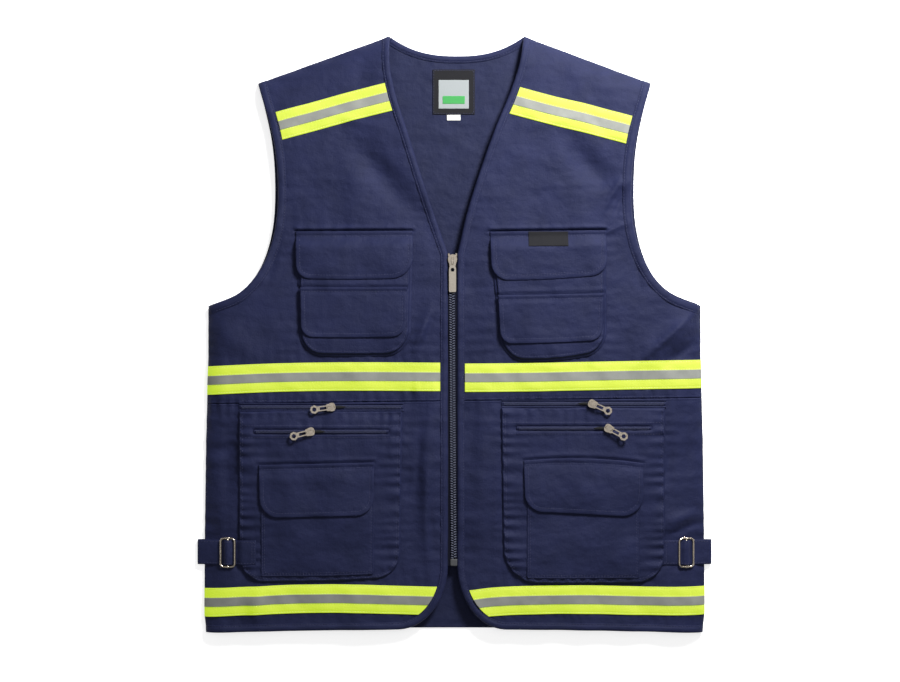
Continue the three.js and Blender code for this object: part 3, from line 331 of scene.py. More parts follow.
def new_piece(name, points, faces, material, rounded=True):
    """Object of points in mm and faces, shaded round or flat, that rides on the vest."""
    place = (np.asarray(points, float) - (0, BODY_LENGTH / 2, 0)) * MM
    mesh = bpy.data.meshes.new(name)
    mesh.from_pydata(place.tolist(), [], faces.tolist() if isinstance(faces, np.ndarray) else faces)
    shell = bmesh.new()
    shell.from_mesh(mesh)
    bmesh.ops.recalc_face_normals(shell, faces=shell.faces)
    shell.to_mesh(mesh)
    shell.free()
    if rounded:
        mesh.shade_smooth()
    else:
        mesh.shade_flat()
    mesh.materials.append(material)
    piece = bpy.data.objects.new(name, mesh)
    scene.collection.objects.link(piece)
    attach(piece, "vest")
    return piece


def grid_faces(rows, columns, start=0):
    """Quads of a grid, seen from the side where rows run up and columns run right."""
    i, j = np.meshgrid(np.arange(rows - 1), np.arange(columns - 1), indexing="ij")
    a = (start + i * columns + j).ravel()
    return np.column_stack([a, a + 1, a + columns + 1, a + columns])


def rim_of(rows, columns):
    """Indices of a grid's rim, once round."""
    low = np.arange(columns)
    right = np.arange(1, rows) * columns + columns - 1
    high = (rows - 1) * columns + np.arange(columns - 2, -1, -1)
    left = np.arange(rows - 2, 0, -1) * columns
    return np.concatenate([low, right, high, left])


def upward(grid):
    """Whether a grid of points faces up."""
    i, j = grid.shape[0] // 2, grid.shape[1] // 2
    a = grid[i, j] - grid[i - 1, j - 1]
    b = grid[i, j - 1] - grid[i - 1, j]
    return a[0] * b[1] - a[1] * b[0] > 0


TOPS = {}


def wall(name, top, bottom, material, skirt=()):
    """Closed wall between a top and a bottom grid, with rings between their rims. A ring is
    (outward, share of the height), and where the wall is low it stands out less."""
    TOPS[name] = top.reshape(-1, 3)
    if not upward(top):
        top, bottom = top[:, ::-1], bottom[:, ::-1]
    rows, columns = top.shape[:2]
    rim = rim_of(rows, columns)
    count = rows * columns
    high, low = top.reshape(-1, 3), bottom.reshape(-1, 3)
    loop = low[rim]
    along = np.roll(loop, -1, 0) - np.roll(loop, 1, 0)
    outward = np.column_stack([along[:, 1], -along[:, 0], np.zeros(len(loop))])
    outward /= np.maximum(np.linalg.norm(outward, axis=1, keepdims=True), 1e-9)
    tall = (high[rim, 2] - loop[:, 2])[:, None]
    fullness = np.clip(tall / max(float(np.median(tall)), 0.1), 0, 1)
    rings = [loop + out * fullness * outward + share * tall * (0, 0, 1) for out, share in skirt]
    points = np.vstack([high, low, *rings])
    chain = [rim, *[2 * count + k * len(rim) + np.arange(len(rim)) for k in range(len(rings))], rim + count]
    faces = [grid_faces(rows, columns), grid_faces(rows, columns, count)[:, ::-1]]
    for above, below in zip(chain, chain[1:]):
        faces.append(np.column_stack([below, np.roll(below, -1), np.roll(above, -1), above]))
    return new_piece(name, points, np.vstack(faces), material)


def layer(name, x, y, high, low, material, node=None, skirt=()):
    """Wall between two heights over one plan, which may stand for a node of the solids."""
    top, bottom = (np.stack([x, y, height], axis=-1) for height in (high, low))
    piece = wall(name, top, bottom, material, skirt)
    if node:
        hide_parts(node)
    return piece


# %% [markdown]
# Cloth turns down at an edge within a millimetre or two, so the rows of a grid are close together
# there and wide apart elsewhere. Seams draw the cloth up into puckers, which die away from them.
# %% Edges, paths and puckers
# Distances of the rows nearest to an edge
FINE = (0, 0.3, 0.7, 1.2, 1.8, 2.6, 3.8, 5.6)


def places(length, step, fine=FINE):
    """Places from 0 to 1 along a length in mm: fine steps at both ends and even steps between."""
    inner = np.linspace(fine[-1], length - fine[-1], max(2, round((length - 2 * fine[-1]) / step) + 1))
    ends = np.array(fine[:-1])
    return np.concatenate([ends, inner, length - ends[::-1]]) / length


def edge_drop(distance, radius):
    """How far a surface falls towards its edge: a quarter circle of a radius."""
    share = np.clip(1 - distance / radius, 0, 1)
    return radius * (1 - np.sqrt(1 - share**2))


def groove(distance, at, width, depth):
    """Narrow dip of a stitched line at a distance from an edge."""
    return -depth * np.exp(-(((distance - at) / width) ** 2))


def nearest(x, y, path):
    """Distance to a path and the length along it, for points in plan."""
    best = np.full(np.shape(x), 1e9)
    along = np.zeros(np.shape(x))
    run = 0.0
    for (x0, y0), (x1, y1) in zip(path[:-1], path[1:]):
        length = max(np.hypot(x1 - x0, y1 - y0), 1e-6)
        t = np.clip(((x - x0) * (x1 - x0) + (y - y0) * (y1 - y0)) / length**2, 0, 1)
        distance = np.hypot(x - x0 - t * (x1 - x0), y - y0 - t * (y1 - y0))
        closer = distance < best
        best = np.where(closer, distance, best)
        along = np.where(closer, run + t * length, along)
        run += length
    return best, along


def puckers(distance, along, reach, length, height, seed):
    """Short waves that a seam draws up: they die away over a reach and vary in length."""
    phase = along / length + 1.0 * noise(along, along * 0 + seed, 3 * length, seed)
    strength = 0.5 + 0.5 * noise(along, along * 0 - seed, 1.6 * length, seed + 1)
    return height * strength * np.exp(-distance / reach) * np.sin(2 * np.pi * phase)


def offset(path, distance):
    """Path moved to the left of its direction."""
    step = np.gradient(path, axis=0)
    step /= np.maximum(np.linalg.norm(step, axis=1, keepdims=True), 1e-9)
    return path + distance * np.column_stack([-step[:, 1], step[:, 0]])


def resampled(path, step):
    """Path with points at even steps of its length."""
    run = np.concatenate([[0], np.cumsum(np.linalg.norm(np.diff(path, axis=0), axis=1))])
    at = np.linspace(0, run[-1], max(2, round(run[-1] / step) + 1))
    return np.column_stack([np.interp(at, run, path[:, k]) for k in range(path.shape[1])])


def on_top(name):
    """Height function of a wall's top, from the three points nearest to each place."""
    points = TOPS[name]

    def height(x, y):
        """Mean of the three nearest points, weighted by one over their squared distance."""
        gap = np.hypot(points[:, 0] - x[:, None], points[:, 1] - y[:, None]) + 0.05
        near = np.argpartition(gap, 3, axis=1)[:, :3]
        weight = np.take_along_axis(gap, near, 1) ** -2.0
        return (points[near, 2] * weight).sum(axis=1) / weight.sum(axis=1)

    return height


print("rows near an edge", FINE)

# %% [markdown]
# A lockstitch shows as a row of short threads that dip into the cloth at both ends. Each one is a
# spindle of ten points, and all of one thread are joined into one piece, which keeps them light.
# %% Stitches
STITCH_PITCH = 3.6
STITCH_LENGTH = 2.6
THREAD_WIDTH = 0.55
STITCHES = {}


def stitch(kind, path, height, pitch=STITCH_PITCH, length=STITCH_LENGTH, width=THREAD_WIDTH):
    """Adds a row of stitches on a surface to a kind: each a small spindle between two needle holes."""
    path = np.asarray(path, float)
    even = resampled(path, pitch)
    if len(even) < 3:
        return
    centre = (even[1:] + even[:-1]) / 2
    along = even[1:] - even[:-1]
    along /= np.linalg.norm(along, axis=1, keepdims=True)
    rise = height(centre[:, 0], centre[:, 1])
    ahead = height(*(centre + along * length / 2).T) - height(*(centre - along * length / 2).T)
    forward = np.column_stack([along * length, ahead]) / 2
    side = np.column_stack([-along[:, 1], along[:, 0], np.zeros(len(along))]) * width / 2
    up = np.array([0, 0, width * 0.4])
    middle = np.column_stack([centre, rise])
    ring = [(f, s, u) for f in (-0.6, 0.6) for s, u in ((1, 0), (0, 1), (-1, 0), (0, -1))]
    parts = [middle + f * forward + s * side + u * up for f, s, u in ring]
    parts = [middle - forward - up * 0.6, *parts, middle + forward - up * 0.6]
    STITCHES.setdefault(kind, []).append(np.stack(parts, axis=1))


def sew(name, kind, material):
    """Joins every stitch of a kind into one piece."""
    parts = np.concatenate(STITCHES.pop(kind))
    faces = [(0, 1 + k, 1 + (k + 1) % 4) for k in range(4)]
    faces += [(1 + k, 5 + k, 5 + (k + 1) % 4, 1 + (k + 1) % 4) for k in range(4)]
    faces += [(9, 5 + (k + 1) % 4, 5 + k) for k in range(4)]
    start = np.arange(len(parts))[:, None] * 10
    every = [corners for face in faces for corners in (start + np.array(face)).tolist()]
    return new_piece(name, parts.reshape(-1, 3), every, material)


print("stitches", STITCH_LENGTH, "long every", STITCH_PITCH)

# %% [markdown]
# Bindings, straps and wires are all one section carried along a path, so they share a function that
# joins rings of points.
# %% Tubes and bands


def tube_mesh(rings, closed=False):
    """Points and faces of rings joined one to the next, with a face over each end or none if closed."""
    count, sides = rings.shape[:2]
    index = np.arange(count * sides).reshape(count, sides)
    ahead = np.roll(index, -1, 0) if closed else index[1:]
    here = index if closed else index[:-1]
    corners = [here, ahead, np.roll(ahead, -1, 1), np.roll(here, -1, 1)]
    faces = np.stack(corners, axis=-1).reshape(-1, 4).tolist()
    if not closed:
        faces += [index[0].tolist(), index[-1].tolist()]
    return rings.reshape(-1, 3), faces


def band(name, path, side, profile, height, material, limit):
    """Closed strip whose section, as rows of (inward, rise), follows a path, below a line if given."""
    path = resampled(path, 2.4)
    step = np.gradient(path, axis=0)
    step /= np.linalg.norm(step, axis=1, keepdims=True)
    inward = side * np.column_stack([-step[:, 1], step[:, 0]])
    rings = []
    for into, rise in profile:
        place = path + into * inward
        if limit:
            place = trimmed(place, limit)
        rings.append(np.column_stack([place, height(place[:, 0], place[:, 1]) + rise]))
    return new_piece(name, *tube_mesh(np.stack(rings, axis=1)), material)


print("a box of rings has", len(tube_mesh(np.zeros((2, 4, 3)))[1]), "faces")

# %% [markdown]
# Materials are plain shader networks in object coordinates, so that the twill's rib is the same
# size on every piece. The real twill is cotton and polyester with a soft sheen, the tapes are
# fluorescent warp knit and glass-bead film, and the hardware is nickel-plated zinc. An image of
# cloth was the other way, but it would need a UV map for every piece and shows its own light.
# %% Shader helpers


def linear(colour):
    """Linear colour of an sRGB hex one."""
    parts = np.array([int(colour[k : k + 2], 16) for k in (1, 3, 5)]) / 255
    return (*np.where(parts <= 0.04045, parts / 12.92, ((parts + 0.055) / 1.055) ** 2.4), 1)


def add(tree, kind, inputs=(), **settings):
    """Adds a node, sets its options and its inputs, and links sockets that are given as inputs."""
    node = tree.nodes.new(kind)
    for key, value in settings.items():
        setattr(node, key, value)
    for key, value in dict(inputs).items():
        if isinstance(value, bpy.types.NodeSocket):
            tree.links.new(value, node.inputs[key])
        else:
            node.inputs[key].default_value = value
    return node


def surface(name, colour, roughness, metallic=0.0):
    """Material with one principled shader, whose constants are set on its own sockets."""
    material = bpy.data.materials.new(name)
    material.use_nodes = True
    shader = material.node_tree.nodes["Principled BSDF"]
    values = {"Base Color": linear(colour), "Roughness": roughness, "Metallic": metallic}
    for key, value in values.items():
        shader.inputs[key].default_value = value
    return material, material.node_tree, shader


def millimetres(tree, turn=0.0, stretch=(1, 1, 1)):
    """Object coordinates in millimetres, turned about Z and stretched."""
    place = add(tree, "ShaderNodeTexCoord")
    scale = tuple(1000 * part for part in stretch)
    inputs = {"Vector": place.outputs["Object"], "Rotation": (0, 0, turn), "Scale": scale}
    return add(tree, "ShaderNodeMapping", inputs).outputs["Vector"]


def varied(tree, shader, place, colour, other, size, detail=3.0):
    """Base colour that drifts between two colours in patches of a size in mm."""
    field = add(tree, "ShaderNodeTexNoise", {"Vector": place, "Scale": 1 / size, "Detail": detail})
    ramp = add(tree, "ShaderNodeValToRGB", {"Fac": field.outputs["Fac"]})
    low, high = ramp.color_ramp.elements
    low.position, high.position = 0.3, 0.7
    low.color, high.color = linear(colour), linear(other)
    tree.links.new(ramp.outputs["Color"], shader.inputs["Base Color"])


def bumped(tree, shader, fields):
    """Chain of bumps: each field is (height socket, depth in mm)."""
    normal = None
    for height, depth in fields:
        inputs = {"Height": height, "Distance": depth * MM, "Strength": 1.0}
        if normal is not None:
            inputs["Normal"] = normal
        normal = add(tree, "ShaderNodeBump", inputs).outputs["Normal"]
    tree.links.new(normal, shader.inputs["Normal"])


print("linear value of a middle grey", round(float(linear("#808080")[0]), 3))

# %% [markdown]
# Five kinds of finish. Each has bumps from large to fine: how the cloth lies, its slub, then its
# rib. A bump costs no triangles, and from a step away it is all that shows of a thread.
# %% Kinds of finish
TWILL_RIB = 1.15


def twill(name, colour, other, depth=0.1):
    """Navy twill: diagonal ribs, a slubby grain and a soft sheen."""
    material, tree, shader = surface(name, colour, 0.6)
    shader.inputs["Sheen Weight"].default_value = 0.02
    shader.inputs["Sheen Roughness"].default_value = 0.45
    shader.inputs["Sheen Tint"].default_value = linear("#8C92B8")
    shader.inputs["Specular IOR Level"].default_value = 0.09
    place = millimetres(tree)
    varied(tree, shader, place, colour, other, 26.0, 6.0)
    diagonal = millimetres(tree, np.radians(-63))
    waves = {"Vector": diagonal, "Scale": 2 * np.pi / 20 / TWILL_RIB, "Distortion": 0.5, "Detail": 1.0}
    ribs = add(tree, "ShaderNodeTexWave", waves, wave_type="BANDS", bands_direction="X")
    grain = add(tree, "ShaderNodeTexNoise", {"Vector": place, "Scale": 0.55, "Detail": 4.0})
    soft = add(tree, "ShaderNodeTexNoise", {"Vector": place, "Scale": 0.09, "Detail": 3.0})
    level = millimetres(tree, np.radians(12), (0.6, 1.0, 1.0))
    lie = add(tree, "ShaderNodeTexNoise", {"Vector": level, "Scale": 0.036, "Detail": 2.0})
    fields = [(lie, 2.6), (soft, 1.1), (grain, 0.22), (ribs, depth)]
    bumped(tree, shader, [(node.outputs["Fac"], deep) for node, deep in fields])
    return material


def knitted_tape(name, colour, other):
    """Hi-vis lime: fluorescent knit with fine ribs along the tape, and a glow that is partly painted light.
    """
    material, tree, shader = surface(name, colour, 0.62)
    shader.inputs["Specular IOR Level"].default_value = 0.12
    # Painted glow: the emission is partly the knit's real fluorescence and partly painted light, which
    # lifts the tape and evens out the lamp's shading on it.
    shader.inputs["Emission Color"].default_value = (0.66, 1.0, 0.0, 1)
    shader.inputs["Emission Strength"].default_value = 0.55
    place = millimetres(tree)
    varied(tree, shader, place, colour, other, 18.0)
    knit = add(tree, "ShaderNodeTexVoronoi", {"Vector": millimetres(tree, 0.0, (1, 1, 0)), "Scale": 0.9})
    grain = add(tree, "ShaderNodeTexNoise", {"Vector": place, "Scale": 0.35, "Detail": 3.0})
    bumped(tree, shader, [(grain.outputs["Fac"], 0.35), (knit.outputs["Distance"], 0.12)])
    return material


def bead_film(name, colour, other):
    """Reflective silver film: fine glass beads."""
    material, tree, shader = surface(name, colour, 0.65)
    shader.inputs["Specular IOR Level"].default_value = 0.12
    place = millimetres(tree)
    varied(tree, shader, place, colour, other, 9.0)
    beads = add(tree, "ShaderNodeTexNoise", {"Vector": place, "Scale": 1.6, "Detail": 2.0})
    bumped(tree, shader, [(beads.outputs["Fac"], 0.12)])
    return material


def metal(name, colour, roughness, brushed=0.0, cast=0.0):
    """Plated metal: softly uneven from its casting, and brushed along Y where a depth is given."""
    material, tree, shader = surface(name, colour, roughness, 1.0)
    uneven = add(tree, "ShaderNodeTexNoise", {"Vector": millimetres(tree), "Scale": 0.42, "Detail": 1.0})
    fields = [(uneven.outputs["Fac"], cast)]
    if brushed:
        streaks = millimetres(tree, 0.0, (3.0, 0.08, 1.0))
        field = add(tree, "ShaderNodeTexNoise", {"Vector": streaks, "Scale": 1.0, "Detail": 2.0})
        fields.append((field.outputs["Fac"], brushed))
    bumped(tree, shader, fields)
    return material


def grained(name, colour, roughness, size, depth):
    """Plain material with an even fine grain."""
    material, tree, shader = surface(name, colour, roughness)
    shader.inputs["Specular IOR Level"].default_value = 0.1
    field = add(tree, "ShaderNodeTexNoise", {"Vector": millimetres(tree), "Scale": 1 / size, "Detail": 3.0})
    bumped(tree, shader, [(field.outputs["Fac"], depth)])
    return material


print("the twill has a rib every", TWILL_RIB, "mm")

# %% [markdown]
# Each finish is named for the real one. Piece-dyed twill is matt and drifts a little in colour. The
# lime knit's dye turns ultraviolet into yellow light, and its glow here is partly painted light. The
# bead film looks plain grey away from a headlamp. Moulded teeth and nylon coils shine a little, and
# plated zinc mirrors.
# %% Cloth, tape, thread, plastic and metal
# The twill is matt navy. The back lies in shade, so its copy of the twill is darker as painted shade,
# and the binding is cut across the rib, so that it reads a shade apart from the fronts.
TWILL = twill("navy twill", "#1F2340", "#1B1F39")
SHADED_BACK_TWILL = twill("navy twill of the back", "#1E223C", "#1A1E36")
BINDING = twill("navy twill binding", "#1F2340", "#1C203A", 0.12)
# The tape's glow, between its dull rows, is partly painted light; the film beside it is the only clear
# grey.
GLOWING_LIME = knitted_tape("fluorescent lime knit", "#908A4A", "#878243")
SILVER = bead_film("glass bead film", "#80827C", "#797B76")
# Thread is a shade lighter than its cloth, so that a seam shows as a dotted line.
THREAD = surface("navy sewing thread", "#252949", 0.6)[0]
LIME_THREAD = surface("pale lime thread", "#D6E68C", 0.6)[0]
# The zip tape is the darkest cloth, and the teeth and coils on it catch small lights.
ZIP_CLOTH = grained("navy zip tape", "#0E101C", 0.85, 0.8, 0.15)
ZIP_TEETH = surface("dark moulded teeth", "#565A6C", 0.22)[0]
ZIP_BOX = surface("dark moulded zip box", "#3A3B3E", 0.5)[0]
COIL = surface("navy nylon coil", "#363A56", 0.45)[0]
SHADOW_CLOTH = surface("pocket lining in shade", "#05060A", 0.95)[0]
# Plated metal gives the brightest points, and the long pull is brushed, so it spreads its light.
NICKEL = metal("nickel plate", "#BDB2A4", 0.25, cast=0.5)
BRUSHED = metal("brushed nickel", "#C0B7AA", 0.3, 0.12, cast=0.25)
# Woven labels are dull, so only their fields tell them apart.
LABEL_BLACK = grained("black woven label", "#1D1D20", 0.8, 0.6, 0.2)
LABEL_GREY = grained("grey woven label", "#8A8F90", 0.8, 0.6, 0.2)
LABEL_GREEN = grained("green woven label", "#3F8A4C", 0.8, 0.6, 0.2)
LABEL_WHITE = grained("white woven label", "#D8D8D6", 0.8, 0.6, 0.2)
print("materials", len(bpy.data.materials))

# %% [markdown]
# The fronts. On the real vest each front is an upper and a lower cloth joined at the waist seam.
# Rows of the grid run straight from the front edge out to the side or armhole, so that the shoulder
# line and the hem are rows too. Seams draw the cloth up, so waves start at each of them.
# %% Plan of a front and of its tapes


def front_plan(side, heights):
    """Plan of a front: x and y of rows at heights of the side, from the front edge outward."""
    sign = SIDES[side]
    rise = (BODY_LENGTH - TIP_HEIGHT) * smooth((heights - 450) / (TIP_HEIGHT - 450))
    inner_y = heights + rise
    corner_hem = float(hem_height(abs(zip_edge(side)) + CORNER_WIDTH))
    turn = np.arcsin(np.clip(1 - (inner_y - corner_hem) / CORNER_HEIGHT, 0, 1))
    corner_x = zip_edge(side) + sign * CORNER_WIDTH * (1 - np.cos(turn))
    vee_x = across(FRONT_EDGE[side], np.maximum(inner_y, V_HEIGHT))
    inner_x = np.where(inner_y < V_HEIGHT, corner_x, vee_x)
    inner_y = inner_y + corner_hem * np.exp(-heights / 25)
    outer_x = sign * outer_reach(heights, FRONT_ARMHOLE)
    share = places(300, 2.9)
    x = inner_x[:, None] + (outer_x - inner_x)[:, None] * share
    y = inner_y[:, None] + (heights - inner_y)[:, None] * share
    sweep = hem_height(x[:1]) - corner_hem * (1 - share)
    y = y + sweep * np.exp(-heights / 25)[:, None]
    return x, y + WAIST_SLOPE * x * np.exp(-(((heights - WAIST_SEAM) / 120) ** 2))[:, None]


def front_outline(side):
    """Closed outline of a front as a path in plan."""
    sign = SIDES[side]
    edge = FRONT_EDGE[side]
    hem_x = np.linspace(edge[-1, 0], sign * float(side_reach(0)), 12)
    hem = np.column_stack([hem_x, hem_height(hem_x)])
    seam_y = np.linspace(0, ARMPIT, 20)
    seam = np.column_stack([sign * side_reach(seam_y), seam_y])
    hole = FRONT_ARMHOLE[::6] * (sign, 1)
    return np.vstack([edge[::4], edge[-1:], hem[1:-1], seam, hole[1:], edge[:1]])


# Tapes: height at the middle, slope of the left one, and the middle line's rise over a straight one
TAPES = {
    "shoulder": (SHOULDER_TAPE, SHOULDER_SLOPE),
    "waist": (WAIST_TAPE, WAIST_SLOPE),
    "hem": (HEM_TAPE, 0),
}
TAPE_BENDS = {
    ("shoulder", "left"): [(-230, 4.2), (-180, 4.4), (-129, 5.0), (-80, 4.0)],
    ("shoulder", "right"): [(72, -1.9), (120, -2.2), (170, -1.0), (226, -1.2)],
    ("waist", "left"): [(-310, -0.5), (-229, 2.2), (-134, 2.6), (-15, 0.6)],
    ("waist", "right"): [(10, -0.8), (90, -1.2), (164, -0.6), (310, 0.2)],
    ("hem", "left"): [(-315, -3.8), (-258, -0.8), (-176, 2.1), (-113, 1.9), (-54, 0), (-10, -1)],
    ("hem", "right"): [(5, -7), (21, -5), (50, -1.6), (100, 0.5), (164, 0.9), (247, -0.8), (315, -0.8)],
}


def tape_slope(kind, side):
    """Slope of a tape: the shoulder tapes mirror each other, the waist tapes run on."""
    return TAPES[kind][1] * (-SIDES[side] if kind == "shoulder" else 1)


def tape_middle(kind, side, x):
    """Height of a tape's middle line at x."""
    bend = spline(TAPE_BENDS[kind, side], 40)
    return TAPES[kind][0] + tape_slope(kind, side) * x + np.interp(x, bend[:, 0], bend[:, 1])


print("tapes at", {kind: height for kind, (height, slope) in TAPES.items()})

# %% [markdown]
# A seam that was sewn tight puckers the cloth beside it. The waves stop under the tapes, which are
# stitched flat, and above each flap the cloth dips into a ditch and then puffs up.
# %% Puckers, and how pocket pieces hang


def tucks(side, x, y, distance):
    """Puckers that start at the seams of a front: waist seam, tapes, pockets and front band. The
    tapes hold the cloth under them flat."""
    total = puckers(np.abs(y - WAIST_SEAM - WAIST_SLOPE * x), x, 13, 12, 1.5, 21)
    total += puckers(distance, y, 20, 19, 1.1, 25)
    for kind in ("chest_pouch", "cargo_panel"):
        low, high = box_mm(f"{kind}_{side}")
        dx = np.maximum(np.maximum(low[0] - x, x - high[0]), 0)
        dy = np.maximum(np.maximum(low[1] - y, y - high[1]), 0)
        turn = dx / (dx + dy + 0.01)
        gap = np.hypot(dx, dy)
        total += turn * puckers(gap, y, 16, 14, 1.1, 27) + (1 - turn) * puckers(gap, x, 12, 15, 0.8, 28)
    held = np.ones(np.shape(x))
    for kind in TAPES:
        gap = np.maximum(np.abs(y - tape_middle(kind, side, x)) - TAPE_WIDTH / 2, 0)
        total += puckers(gap, x, 11, 15, 1.3, 23) * (kind != "shoulder")
        held *= smooth(gap / 4)
    return total * held


def box_mm(node):
    """Lowest and highest corner of a node in mm, heights up from the hem."""
    low, high = (np.array(corner) / MM + (0, BODY_LENGTH / 2, 0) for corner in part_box(node))
    return low, high


# Pocket pieces: shift of the left and the right side at the top and at the bottom, rise of the top
# edge and of the bottom edge at the left, middle and right, and radii of the lower corners
HANG = {
    "chest_pouch_left": ((0, 1, 3.6, -1.5), (0, 0, 0), (0, -1.5, 0), (26, 30)),
    "chest_pouch_right": ((-0.5, 0, 13, 1), (0, 0, 0), (-6, -6.5, 4), (28, 24)),
    "chest_flap_left": ((-0.6, 0, 0.4, 0.5), (0, 0.3, 0.7), (0, -1.5, 1), (17, 26)),
    "chest_flap_right": ((0, -1, 2.5, 1), (-0.5, 0.5, 1.3), (-2.4, -1.2, 5), (21, 20)),
    "chest_lower_flap_left": ((-1.5, 0, 0, -1), (0, 0, 0), (1, 0, 1.5), (15, 18)),
    "chest_lower_flap_right": ((3, 3, 6.6, 1), (-1.5, -0.5, 1), (-7.4, -6.3, -3), (14, 15)),
    "cargo_panel_left": ((-2, 0, -2, -3), (0, 0, 0), (0, 0.5, 6), (32, 30)),
    "cargo_panel_right": ((-2.5, 0, 1, 0), (0, 0, 0), (0, -2.3, 0), (40, 34)),
    "cargo_patch_left": ((-5.4, -4.4, -5.4, -4.6), (0, 0, 0), (2.5, 3, 5.5), (2, 2)),
    "cargo_patch_right": ((-1.2, 0, -1.8, -1), (0, 0, 0), (0.5, 0, 0.5), (2, 2)),
    "cargo_flap_left": ((-5.4, -6.5, -3.5, -7), (2.4, 4, 5.6), (2.5, 4, 6.2), (24, 22)),
    "cargo_flap_right": ((-3, 1, -1, 1), (3.5, 6.5, 0.5), (6.5, 3, -1), (22, 27)),
}


def parabola(share, values):
    """Parabola through three values, at 0, a half and 1."""
    left, middle, right = values
    near = left * (1 - share) * (1 - 2 * share)
    return near + 4 * middle * share * (1 - share) + right * share * (2 * share - 1)


def ditch(x, y, node, depth):
    """Trough in what carries a flap, just above the flap's top edge, where the cloth puffs up."""
    low, high = box_mm(node)
    first, last = low[0] + HANG[node][0][0], high[0] + HANG[node][0][1]
    line = high[1] + parabola(np.clip((x - first) / (last - first), 0, 1), HANG[node][1])
    inside = smooth((x - first + 4) / 5) * smooth((last + 4 - x) / 5)
    above = y - line
    puff = 0.6 * depth * np.exp(-(((above - 4.2) / 2.4) ** 2)) * (above > 0)
    return inside * (puff - depth * np.exp(-(((above - 0.1) / 1.5) ** 2)))


print("pocket pieces that hang askew", len(HANG))

# %% [markdown]
# Each front cloth is a wall over its plan, with thin edges that roll down at the seams.
# %% The four front cloths
FLAP_ROWS = np.arange(493, 514, 1.0)


def even_heights(low, high, step, fine=FINE):
    """Heights from low to high, with fine steps at both ends."""
    inner = np.linspace(low + fine[-1], high - FINE[-1], round((high - low) / step))
    return np.concatenate([low + np.array(fine[:-1]), inner, high - np.array(FINE[:-1])[::-1]])


corner_turns = np.linspace(np.pi / 2, 0, 27)[:-1]
corner_heights = CORNER_HEIGHT * (1 - np.sin(corner_turns))
lower_heights = np.concatenate([corner_heights, even_heights(CORNER_HEIGHT, WAIST_SEAM - 0.25, 3, (0,))])
upper_heights = even_heights(WAIST_SEAM + 0.25, TIP_HEIGHT, 3)
below, above = upper_heights[upper_heights < 492.5], upper_heights[upper_heights > 513.5]
upper_heights = np.concatenate([below, FLAP_ROWS, above])
fronts = []
for side in SIDES:
    outline = front_outline(side)
    for place, heights in (("lower", lower_heights), ("upper", upper_heights)):
        x, y = front_plan(side, heights)
        edge = nearest(x, y, outline)[0]
        seam = np.abs(y - WAIST_SEAM - WAIST_SLOPE * x)
        relief = tucks(side, x, y, edge) - edge_drop(edge, 0.9) - edge_drop(seam, 1.7)
        relief += groove(seam, 3.2, 0.9, 0.3)
        if place == "upper":
            relief += ditch(x, y, f"chest_flap_{side}", 2.2)
        under = ground(x, y)
        node = f"front_{place}_{side}"
        low = under + np.minimum(relief, 0) - 0.1
        piece = layer(f"{node}_cloth", x, y, under + CLOTH + relief, low, TWILL, node)
        plan = abs(float(np.trapz(x[:, -1] - x[:, 0], y.mean(axis=1))))
        fronts.append((piece, plan, x, y))
print("front cloths", [(piece.name, len(piece.data.polygons)) for piece, *_ in fronts])

# %% [markdown]
# The back shows in the neck, in a narrow gap below the zip and outside the front armholes. Its
# columns end on the neck curve and the shoulder line, so both ends of the neck are columns.
# %% The back cloth


def back_top(x):
    """Shoulder line and back neck curve."""
    share = np.clip(np.abs(x - NECK_SHIFT) / (NECK_WIDTH / 2), 0, 1)
    neck = BODY_LENGTH - NECK_DIP * (1 - share**2.5)
    reach = np.where(x > NECK_SHIFT, x - NECK_SHIFT, NECK_SHIFT - x) - NECK_WIDTH / 2
    run = TIP_REACH - NECK_WIDTH / 2
    shoulder = BODY_LENGTH - (BODY_LENGTH - TIP_HEIGHT) * reach / (run - NECK_SHIFT * np.sign(x))
    return np.where(share < 1, neck, shoulder)


def back_waves(x, y):
    """Creases and slow waves of the back."""
    return ridges(x, y, BACK_CREASES) + 0.3 * noise(x, y, 42, 7) + 0.5 * noise(x, y, 120, 8)


neck_left, neck_right = NECK_SHIFT - NECK_WIDTH / 2, NECK_SHIFT + NECK_WIDTH / 2
top_x = np.concatenate(
    [
        -TIP_REACH + (neck_left + TIP_REACH) * places(160, 5)[:-1],
        neck_left + NECK_WIDTH * places(NECK_WIDTH, 3)[:-1],
        neck_right + (TIP_REACH - neck_right) * places(160, 5),
    ]
)
share = (top_x + TIP_REACH) / (2 * TIP_REACH)
heights = even_heights(0, TIP_HEIGHT, 4.2)
reach = outer_reach(heights, BACK_ARMHOLE)
x = reach[:, None] * (2 * share - 1)
lift = smooth((heights - 430) / (TIP_HEIGHT - 430))[:, None] * (back_top(top_x) - TIP_HEIGHT)
y = heights[:, None] + lift + hem_height(x) * np.exp(-heights / 25)[:, None]
plan = np.stack([x, y], axis=-1)
edge = nearest(x, y, np.vstack([plan[::4, 0], plan[-1, ::4], plan[::-4, -1], plan[0, ::-4]]))[0]
relief = back_waves(x, y) * smooth(edge / 30) - edge_drop(edge, 1.1) + groove(edge, 4.2, 1.0, 0.35)
under = back_ground(x, y)
low = under + np.minimum(relief, 0) * (under > 1)
# The back's darker twill is painted shade.
back = layer("back_cloth", x, y, under + CLOTH + relief, low, SHADED_BACK_TWILL, "back_panel")


def back_surface(x, y):
    """Top of the back's cloth."""
    return back_ground(x, y) + CLOTH + back_waves(x, y)


def front_surface(x, y):
    """Top of the fronts' cloth away from its seams."""
    return ground(x, y) + CLOTH


# %% [markdown]
# Bindings are strips of the same twill, folded over the raw edges and stitched near their inner
# side. One rounded section follows each edge: up from the cloth, over the crown and round the edge.
# %% Bindings


